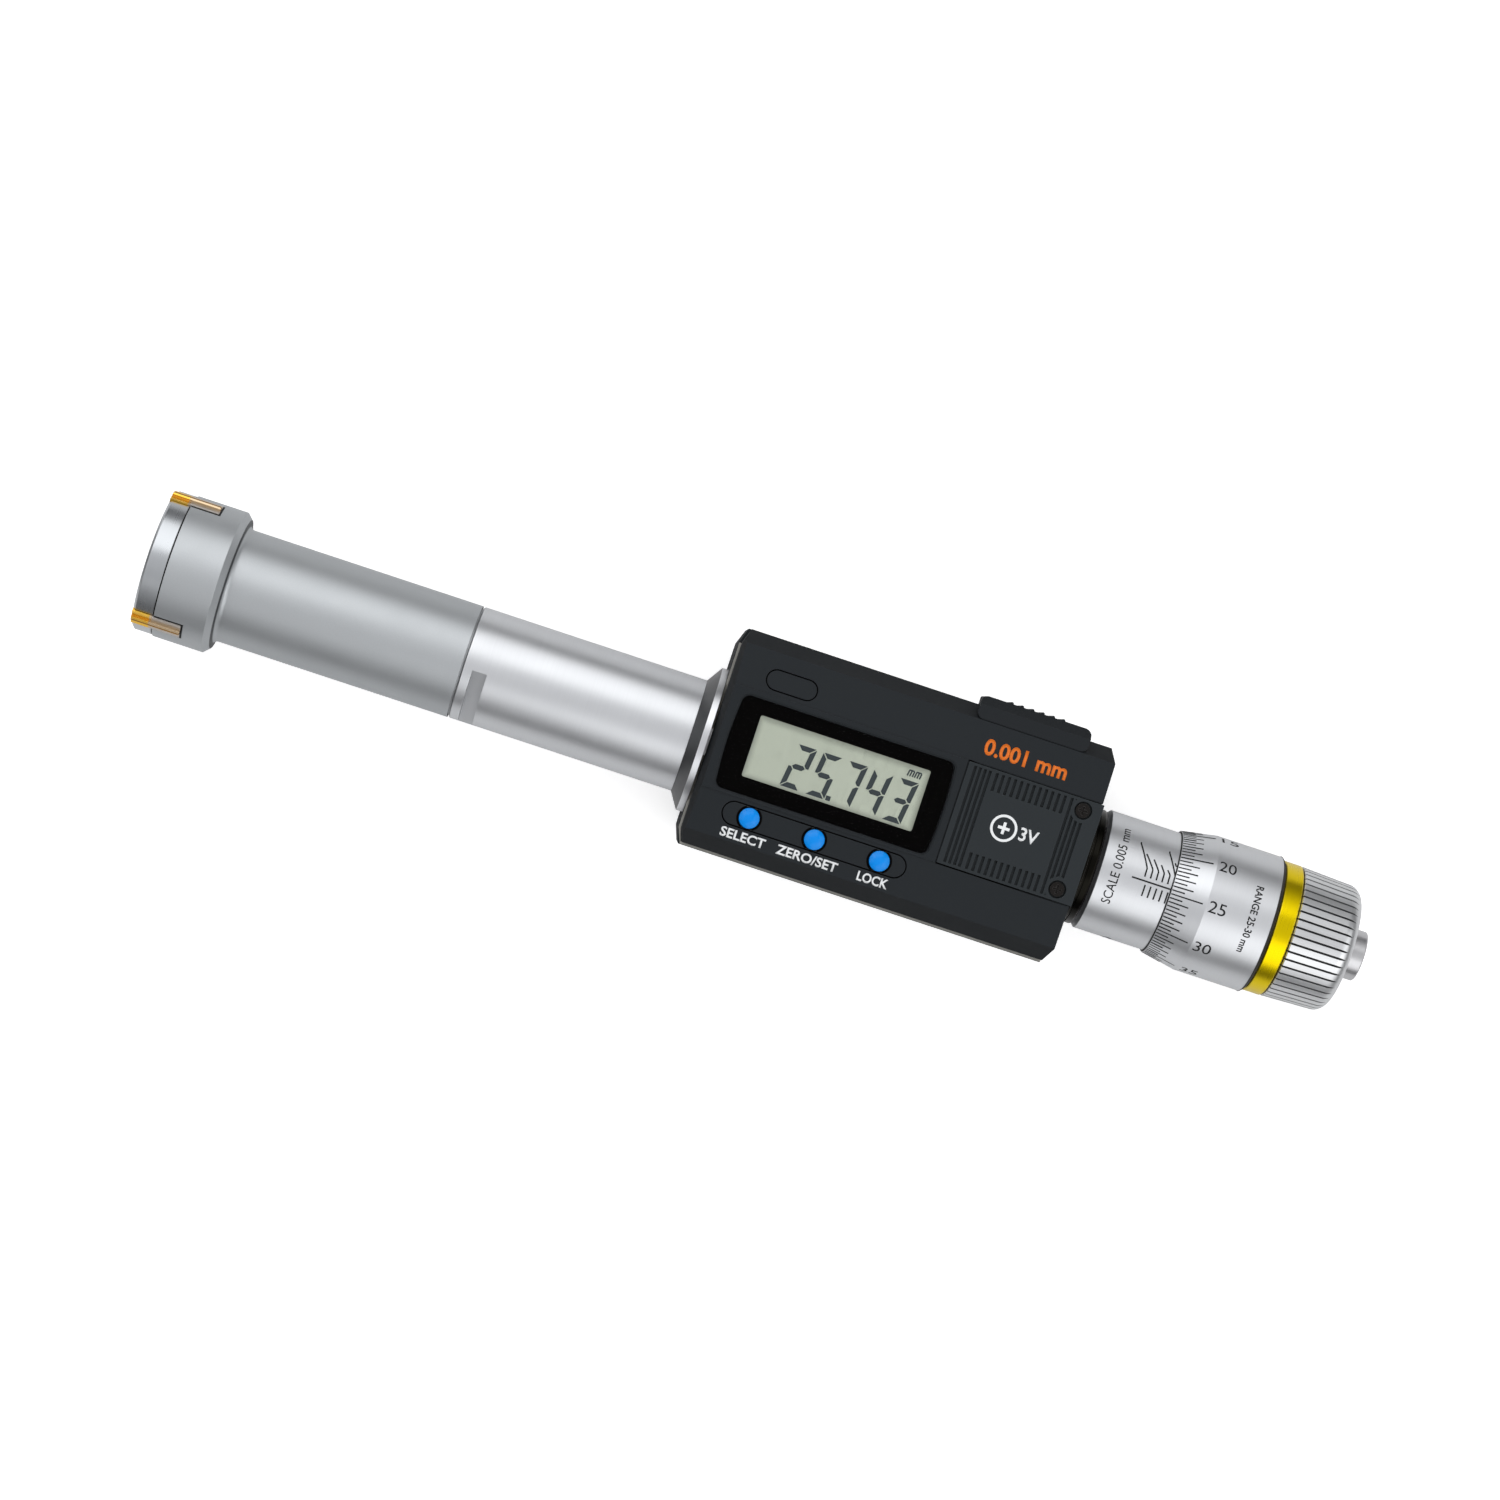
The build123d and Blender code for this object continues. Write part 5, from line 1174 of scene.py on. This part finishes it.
@dataclass
class HousingInkAndShade(SubAssembly):
    """The words and signs of the housing, and painted shade in its gaps and grooves; all the words are plain
    generic ones.
    """

    slot: str = "housing_plastic"
    cover: PrintPlace = field(default_factory=lambda: PrintPlace("front_cover"))
    label_bottom: float = -13.95
    label_height: float = 1.66
    label_weight: float = 0.026
    labels: tuple[tuple[str, float, float], ...] = (
        ("SELECT", -25.7, 7.7), ("ZERO/SET", -16.0, 10.5), ("LOCK", -2.0, 5.3),
    )
    resolution_place: Point = (11.3, 12.3)
    resolution_size: Point = (14.3, 2.8)
    resolution_weight: float = 0.03
    sign_place: Point = (16.1, -0.55)
    sign_middle: Point = (2.35, 2.3)
    sign_ring: Point = (2.05, 0.42)
    sign_plus: Point = (1.0, 0.48)
    sign_steps: int = 40
    voltage_size: Point = (3.2, 2.3)
    voltage_weight: float = 0.02
    voltage_place: Point = (5.1, 1.15)
    button_ring: Point = (1.98, 0.3)
    button_steps: int = 48
    groove_width: float = 0.2
    groove_steps: int = 16
    grooves: tuple[tuple[float, float, float, float], ...] = (
        (-26.44, 5.24, -9.8, 1.97), (-26.34, -17.66, 13.16, 1.72),
    )
    seam_width: float = 0.24
    seam_lap: float = 0.02
    seam_end: float = 0.8

    def build(self) -> None:
        """Builds the print, and then the rims, groove floors and seam."""
        self.words()
        self.button_rims()
        self.groove_floors()
        self.cover_seam()

    def words(self) -> None:
        """Prints the button labels, the resolution and the battery sign."""
        for number, (text, left, width) in enumerate(self.labels, start=1):
            flat = letters(text, width, self.label_height, self.label_weight)
            self.cover.lay(flat, left, self.label_bottom)
            self.thin(flat, f"label_{number}", "white_print")
        flat = letters("0.001 mm", *self.resolution_size, self.resolution_weight)
        self.cover.lay(flat, *self.resolution_place)
        self.thin(flat, "resolution_print", "orange_print")
        flat = self.battery_sign()
        PrintPlace("battery_cover").lay(flat, *self.sign_place)
        self.thin(flat, "battery_sign", "white_print")

    def battery_sign(self) -> Form:
        """Draws a plain sign of a round cell: a ring with a plus in it, and its voltage beside it.

        Returns:
            The flat form in millimetres.
        """
        flat = bmesh.new()
        (x, y), (radius, ring_line), (arm, line) = self.sign_middle, self.sign_ring, self.sign_plus
        stroke(flat, circle(radius, self.sign_steps, self.sign_middle), ring_line)
        stroke(flat, [(x - arm, y), (x + arm, y)], line)
        stroke(flat, [(x, y - arm), (x, y - line / 2)], line)
        stroke(flat, [(x, y + line / 2), (x, y + arm)], line)
        word = letters("3V", *self.voltage_size, self.voltage_weight)
        bmesh.ops.translate(word, verts=word.verts, vec=(*self.voltage_place, 0))
        add_mesh(flat, to_mesh(word, "sign_word"))
        return flat

    def button_rims(self) -> None:
        """Paints shade round the rim of each button's hole."""
        radius, width = self.button_ring
        for number in NUMBERS:
            middle = sum(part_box(f"button_{number}"), Vector()) / 2 / MM
            flat = bmesh.new()
            stroke(flat, circle(radius, self.button_steps), width)
            self.cover.lay(flat, middle.x, middle.y)
            self.thin(flat, f"button_rim_{number}", "window_print")

    def groove_floors(self) -> None:
        """Paints shade on the floors of the two long round-ended grooves."""
        flat = bmesh.new()
        for left, right, middle, half in self.grooves:
            turns = [math.pi * step / self.groove_steps for step in range(self.groove_steps + 1)]
            bow = [(half * math.sin(turn), half * math.cos(turn)) for turn in turns]
            path = [(right - half + x, middle + y) for x, y in bow]
            path += [(left + half - x, middle - y) for x, y in bow]
            stroke(flat, [*path, path[0]], self.groove_width)
        self.cover.lay(flat)
        self.thin(flat, "groove_floors", "window_print")

    def cover_seam(self) -> None:
        """Paints shade into the joint along three sides of the battery cover."""
        low, high = (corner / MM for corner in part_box("battery_cover"))
        out = self.seam_width / 2 - self.seam_lap
        left, right, bottom, top = low.x - out, high.x - self.seam_end, low.y - out, high.y + out
        corners = [(right, top), (left, top), (left, bottom), (right, bottom)]
        flat = bmesh.new()
        for side in zip(corners, corners[1:]):
            stroke(flat, side, self.seam_width)
        self.cover.lay(flat)
        self.thin(flat, "cover_seam", "window_print")


@dataclass
class SleeveScale(SubAssembly):
    """The scale, leader lines and lettering on the fixed sleeve."""

    radius: float = 10.38
    span: Point = (36.0, 55.0)
    thimble_edge: float = 48.7
    line: float = 0.27
    datum_start: float = 41.75
    datum_height: float = 0.79
    datum_gap: float = 0.05
    last_mark: float = 48.27
    mark_count: int = 5
    lower_span: Point = (-1.76, 0.2)
    upper_span: Point = (1.47, 3.08)
    bend_reach: Point = (0.15, 0.1)
    bend_shift: float = 0.1
    hook: Point = (-0.03, 0.32)
    leader_tops: tuple[Point, ...] = ((-1.95, 7.05), (-1.66, 5.42), (-1.26, 4.85), (-0.85, 4.3), (-0.6, 3.78))
    loose_leaders: tuple[tuple[Point, ...], ...] = (
        ((46.8, 7.37), (46.83, 7.05), (48.62, 3.2)), ((48.1, 5.42), (48.45, 4.85)),
    )
    word_size: Point = (14.2, 1.6)
    word_weight: float = 0.004
    word_place: Point = (39.75, -4.9)

    def build(self) -> None:
        """Builds the scale and the wording beside it."""
        place = RoundPlace([(x, self.radius) for x in self.span])
        datum_end = self.thimble_edge - self.datum_gap
        flat = bmesh.new()
        stroke(flat, [(self.datum_start, self.datum_height), (datum_end, self.datum_height)], self.line)
        for index in range(self.mark_count):
            x = self.last_mark - index
            stroke(flat, [(x, height) for height in self.lower_span], self.line)
        self.leaders(flat)
        place.wrap(flat, 0.0, 0.0, self.radius)
        self.thin(flat, "sleeve_scale")
        word = letters("SCALE 0.005 mm", *self.word_size, self.word_weight)
        turn_flat(word, 90)
        place.wrap(word, *self.word_place, self.radius)
        self.thin(word, "sleeve_words")

    def leaders(self, flat: Form) -> None:
        """Adds the bent lines above the datum.

        Args:
            flat: The form that they join.
        """
        (low, bend), (before, after) = self.upper_span, self.bend_reach
        first = self.last_mark - self.mark_count + 0.5
        for index, (shift, top) in enumerate(self.leader_tops):
            x = first + index
            path = [(x, low), (x, bend - before), (x - self.bend_shift, bend + after), (x + shift, top)]
            if index == 0:
                path.append((x + shift + self.hook[0], top + self.hook[1]))
            stroke(flat, path, self.line)
        for path in self.loose_leaders:
            stroke(flat, path, self.line)


@dataclass
class ThimbleScale(SubAssembly):
    """The graduations, numbers and wording on the thimble."""

    body: Body = Body.THIMBLE
    edge: float = 48.7
    edge_radius: float = 10.72
    edge_gap: float = 0.06
    radius: float = 11.9
    taper_end: float = 54.8
    end: float = 66.4
    line: float = 0.22
    divisions: int = 100
    lengths: tuple[float, float, float] = (2.2, 3.45, 5.45)
    zero_value: float = 25.0
    zero_angle: float = 0.9
    degrees_per_unit: float = 7.2
    number_left: float = 55.25
    number_size: Point = (2.95, 2.02)
    number_weight: float = 0.001
    one_figure_share: float = 0.45
    word_size: Point = (11.9, 1.3)
    word_weight: float = 0.02
    word_place: Point = (62.05, 6.2)

    def place(self, angle: float) -> RoundPlace:
        """Gives the thimble's surface about one angle from straight up, in degrees, towards +Y."""
        stations = [(self.edge, self.edge_radius), (self.taper_end, self.radius), (self.end, self.radius)]
        return RoundPlace(stations, angle)

    def angle(self, value: float) -> float:
        """Gives the angle of a value on the scale, in degrees."""
        return self.zero_angle + (self.zero_value - value) * self.degrees_per_unit

    def build(self) -> None:
        """Builds the graduations, the numbers and the range."""
        lines, numbers = bmesh.new(), bmesh.new()
        for index in range(self.divisions):
            kind = 2 if index % 10 == 0 else 1 if index % 2 == 0 else 0
            one = bmesh.new()
            stroke(one, [(self.edge_gap, 0.0), (self.lengths[kind], 0.0)], self.line)
            self.place(self.angle(index / 2)).wrap(one, self.edge, 0.0, self.edge_radius)
            add_mesh(lines, to_mesh(one, "line"))
        self.thin(lines, "thimble_lines")
        wide, tall = self.number_size
        for value in range(0, self.divisions // 2, 5):
            share = 1.0 if value >= 10 else self.one_figure_share
            one = letters(str(value), wide * share, tall, self.number_weight)
            self.place(self.angle(value)).wrap(one, self.number_left, -tall / 2, self.radius)
            add_mesh(numbers, to_mesh(one, "number"))
        self.thin(numbers, "thimble_numbers")
        word = letters("RANGE 25-30 mm", *self.word_size, self.word_weight)
        turn_flat(word, -90)
        self.place(0.0).wrap(word, *self.word_place, self.radius)
        self.thin(word, "thimble_words")


@dataclass
class HeadSeams(SubAssembly):
    """Painted shade in the joints of the measuring head, behind its front ring and round its contacts."""

    slot: str = "satin_head_steel"
    contact_angles: tuple[float, ...] = (64.5, -55.5, 184.5)
    half_spacing: float = 60.0
    seam_x: float = -125.475
    seam_radius: float = 12.0
    seam_width: float = 0.23
    seam_reach: float = 51.0
    slot_radius: float = 12.3
    slot_front: float = -125.3
    slot_end: float = -120.44
    slot_half: float = 1.86
    slot_pitch: float = 0.2
    line: float = 0.24
    end_line: float = 0.34

    def build(self) -> None:
        """Builds the seam behind the ring and the outline of each contact's slot."""
        seam, slots = bmesh.new(), bmesh.new()
        reach = math.radians(self.seam_reach) * self.seam_radius
        end_reach = self.slot_half + self.line / 2
        seam_stations = [(self.seam_x - 1, self.seam_radius), (self.seam_x + 1, self.seam_radius)]
        slot_stations = [(self.slot_front - 1, self.slot_radius), (self.slot_end + 1, self.slot_radius)]
        for angle in self.contact_angles:
            arc, outline = bmesh.new(), bmesh.new()
            stroke(arc, [(0.0, -reach), (0.0, reach)], self.seam_width)
            RoundPlace(seam_stations, angle + self.half_spacing).wrap(arc, self.seam_x, 0.0, self.seam_radius)
            add_mesh(seam, to_mesh(arc, "arc"))
            for side in (-self.slot_half, self.slot_half):
                stroke(outline, [(self.slot_front, side), (self.slot_end, side)], self.line)
            stroke(outline, [(self.slot_end, -end_reach), (self.slot_end, end_reach)], self.end_line)
            place = RoundPlace(slot_stations, angle, pitch=self.slot_pitch)
            place.wrap(outline, 0.0, 0.0, self.slot_radius)
            add_mesh(slots, to_mesh(outline, "outline"))
        # The seam and the slot outlines are black strokes of painted shade.
        self.thin(seam, "ring_seam")
        self.thin(slots, "slot_seams")


@dataclass
class ThimbleShadowsAndLedgeHighlight(SubAssembly):
    """Black rings of painted shade in the gaps beside the thimble, and a pale strip of painted highlight
    along the housing's ledge.
    """

    body: Body = Body.THIMBLE
    slot: str = "soft_seal"
    neck_inside: float = 9.86
    neck_profile: tuple[Point, ...] = (
        (0.37, 11.35), (0.3, 11.45), (0.1, 11.7), (-0.2, 11.97), (-0.26, 11.94), (0.0, 11.66), (0.03, 11.6),
    )
    neck_gap: float = 0.4
    edge_shadow_outside: float = 10.62
    edge_shadow_width: float = 0.2
    edge_shadow_gap: float = 0.01
    edge_shadow_thickness: float = 0.05
    steps: int = 160
    ledge_width: float = 0.4
    ledge_height: float = 0.12
    ledge_z: float = 22.31
    ledge_inset: float = 0.04
    ledge_corner: Point = (0.85, 2.4)
    ledge_ends: Point = (0.75, 2.7)

    def build(self) -> None:
        """Builds the black rings of painted shade at the neck and at the thimble's edge, and the painted
        highlight on the ledge.
        """
        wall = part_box("colour_ring")[0].x / MM - self.neck_gap
        first, last = self.neck_profile[0][0], self.neck_profile[-1][0]
        profile = [(last, self.neck_inside), (first, self.neck_inside), *self.neck_profile]
        self.turned([(wall + along, radius) for along, radius in profile], "neck_shadow_ring")
        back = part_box("thimble")[0].x / MM
        front, back = back - self.edge_shadow_width, back - self.edge_shadow_gap
        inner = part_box("sleeve")[1].y / MM + self.edge_shadow_thickness
        lip = inner + self.edge_shadow_thickness
        profile = [(front, inner), (back, inner), (back, self.edge_shadow_outside), (front, lip)]
        self.turned(profile, "thimble_edge_shadow")
        self.ledge()

    def turned(self, profile: Sequence[Point], name: str) -> None:
        """Turns a closed profile about the measuring axis into a ring on the thimble.

        Args:
            profile: Its corners, each as a place along the axis and a radius.
            name: The piece's name.
        """
        form = bmesh.new()
        turns = [2 * math.pi * step / self.steps for step in range(self.steps)]
        rows = [[form.verts.new(round_point(x, radius, turn)) for x, radius in profile] for turn in turns]
        for row, after in zip(rows, [*rows[1:], rows[0]]):
            for corner in range(len(profile)):
                other = (corner + 1) % len(profile)
                form.faces.new((row[corner], row[other], after[other], after[corner]))
        # Each ring is a black piece of painted shade, given the seal rubber's finish.
        self.solid(form, name, "soft_seal")

    def ledge(self) -> None:
        """Lays a pale strip of painted highlight along the ledge between the two covers."""
        front_low, front_high = (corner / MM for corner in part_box("front_cover"))
        rear_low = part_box("rear_cover")[0] / MM
        left, bottom = (front_low.xy + rear_low.xy) / 2 + Vector((self.ledge_inset, self.ledge_inset))
        right, top = front_high.xy - Vector(self.ledge_ends)
        along, up = self.ledge_corner
        path = [(left, top), (left, bottom + up), (left + along, bottom), (right, bottom)]
        form = bmesh.new()
        stroke(form, path, self.ledge_width)
        form.normal_update()
        grown = bmesh.ops.extrude_face_region(form, geom=form.faces[:])
        raised = [part for part in grown["geom"] if isinstance(part, bmesh.types.BMVert)]
        bmesh.ops.translate(form, verts=raised, vec=(0, 0, self.ledge_height))
        for vert in form.verts:
            vert.co = Vector((vert.co.x, vert.co.y, vert.co.z + self.ledge_z)) * MM
        self.solid(form, "ledge_highlight", "pale_highlight", Body.HOUSING)


# The stage, the light and the camera


@dataclass(frozen=True)
class SoftLamp:
    """A rectangular soft lamp that is aimed at the object."""

    name: str
    place: tuple[float, float, float]
    size: Point
    power: float
    aim: tuple[float, float, float] = (-0.02, 0.0, 0.015)

    def hang(self) -> None:
        """Hangs the lamp."""
        light = bpy.data.lights.new(self.name, "AREA")
        light.shape = "RECTANGLE"
        light.size, light.size_y = self.size
        light.energy = self.power
        lamp = link(self.name, light)
        lamp.location = self.place
        lamp.rotation_mode = "QUATERNION"
        lamp.rotation_quaternion = (Vector(self.aim) - Vector(self.place)).to_track_quat("-Z", "Y")


@dataclass
class Studio:
    """The white floor, the soft lamps and the camera."""

    middle: Vector = field(default_factory=lambda: Vector((-24.7, 0.89, AXIS_HEIGHT)) * MM)
    distance: float = 0.643
    half_view: float = 0.126
    sensor: float = 36.0
    near_and_far: Point = (0.05, 50.0)
    tilt: float = 2.1
    roll: float = 18.27
    floor_size: float = 6.0
    floor_drop: float = 0.0002
    floor_cells: int = 8
    sheet_colour: Colour = (0.78, 0.78, 0.78)
    far_colour: Colour = (0.05, 0.05, 0.05)
    sheet_edge: Point = (0.2, 0.34)
    sheet_roughness: float = 0.9
    sheet_specular: float = 0.1
    glow: Point = (0.6, 1.0)
    sky: tuple[Point, ...] = ((0.0, 0.07), (0.3, 0.24), (0.85, 0.42), (0.97, 0.7))
    sky_blue: float = 1.02
    lamps: tuple[SoftLamp, ...] = (
        SoftLamp("upper_box", (-0.3, 0.63, 0.71), (1.15, 0.88), 4.6),
        SoftLamp("lower_box", (0.4, -0.59, 0.75), (1.15, 0.8), 3.7),
        SoftLamp("right_panel", (1.0, 0.1, 0.85), (1.3, 0.9), 3.7),
        SoftLamp("left_panel", (-1.0, 0.1, 0.95), (1.3, 0.9), 3.0),
    )

    def build(self) -> None:
        """Builds the whole stage, with a long lamp on each side and a panel beyond each end."""
        self.floor()
        self.world()
        for lamp in self.lamps:
            lamp.hang()
        self.camera()
        bpy.context.scene.view_settings.view_transform = "Standard"

    def floor(self) -> None:
        """Builds the floor under the object, which the camera sees as white."""
        flat = bmesh.new()
        cells = self.floor_cells
        bmesh.ops.create_grid(flat, x_segments=cells, y_segments=cells, size=self.floor_size)
        mesh = to_mesh(flat, "floor")
        piece = link("floor", mesh)
        piece.location.z = -self.floor_drop
        paper = SurfaceSketch("floor_paper")
        place = paper.add("ShaderNodeTexCoord").outputs["Object"]
        far = paper.add("ShaderNodeVectorMath", {0: place}, operation="LENGTH").outputs["Value"]
        start, end = self.sheet_edge
        feeds = {"Value": far, "From Min": start, "From Max": end}
        share = paper.add("ShaderNodeMapRange", feeds).outputs["Result"]
        paper.set("Base Color", paper.blend(share, self.sheet_colour, self.far_colour))
        paper.set("Roughness", self.sheet_roughness)
        paper.set("Specular IOR Level", self.sheet_specular)
        rays = paper.add("ShaderNodeLightPath").outputs
        seen = paper.math("MAXIMUM", rays["Is Camera Ray"], rays["Is Transmission Ray"])
        strength = paper.math("MULTIPLY", seen, paper.spread(share, *self.glow))
        glow = paper.add("ShaderNodeEmission", {"Strength": strength})
        both = paper.add("ShaderNodeAddShader", {0: paper.shader.outputs[0], 1: glow.outputs[0]})
        paper.join(both.outputs[0], paper.tree.nodes["Material Output"].inputs["Surface"])
        mesh.materials.append(paper.material)

    def world(self) -> None:
        """Sets the room's light, which grows from the horizon up and which the camera sees as white."""
        world = bpy.data.worlds.new("room")
        world.use_nodes = True
        sketch = Sketch(world.node_tree)
        height = sketch.split("Generated")[2]
        ramp = sketch.add("ShaderNodeValToRGB", {"Fac": height})
        steps = ramp.color_ramp.elements
        while len(steps) < len(self.sky):
            steps.new(0.5)
        for step, (place, level) in zip(steps, self.sky):
            step.position = place
            step.color = (level, level, level * self.sky_blue, 1.0)
        seen = sketch.add("ShaderNodeLightPath").outputs["Is Camera Ray"]
        shown = sketch.blend(seen, ramp.outputs["Color"], (1.0, 1.0, 1.0))
        sketch.join(shown, world.node_tree.nodes["Background"].inputs["Color"])
        bpy.context.scene.world = world

    def camera(self) -> None:
        """Places the camera where the photograph was taken from."""
        tilt, roll = math.radians(self.tilt), math.radians(self.roll)
        back = Vector((-math.sin(tilt), 0, math.cos(tilt)))
        along = Vector((math.cos(tilt), 0, math.sin(tilt)))
        up = Vector((0, 1, 0))
        right = along * math.cos(roll) + up * math.sin(roll)
        top = up * math.cos(roll) - along * math.sin(roll)
        data = bpy.data.cameras.new("photo_camera")
        data.sensor_width = self.sensor
        data.lens = self.sensor / 2 * self.distance / self.half_view
        data.clip_start, data.clip_end = self.near_and_far
        camera = link("photo_camera", data)
        turn = Matrix((right, top, back)).transposed().to_4x4()
        camera.matrix_world = Matrix.Translation(self.middle + back * self.distance) @ turn
        bpy.context.scene.camera = camera


def main() -> None:
    """Builds the stage and every dressed piece, in order."""
    logging.basicConfig(level=logging.INFO, format="%(message)s")
    Studio().build()
    finishes = Finishes()
    finishes.dress_nodes()
    for kind in (Display, WindowBorder, HousingInkAndShade, SleeveScale, ThimbleScale, ThimbleShadowsAndLedgeHighlight, HeadSeams):
        kind(finishes).build()
        log.info("built %s", kind.__name__)


if __name__ == "__main__":
    main()
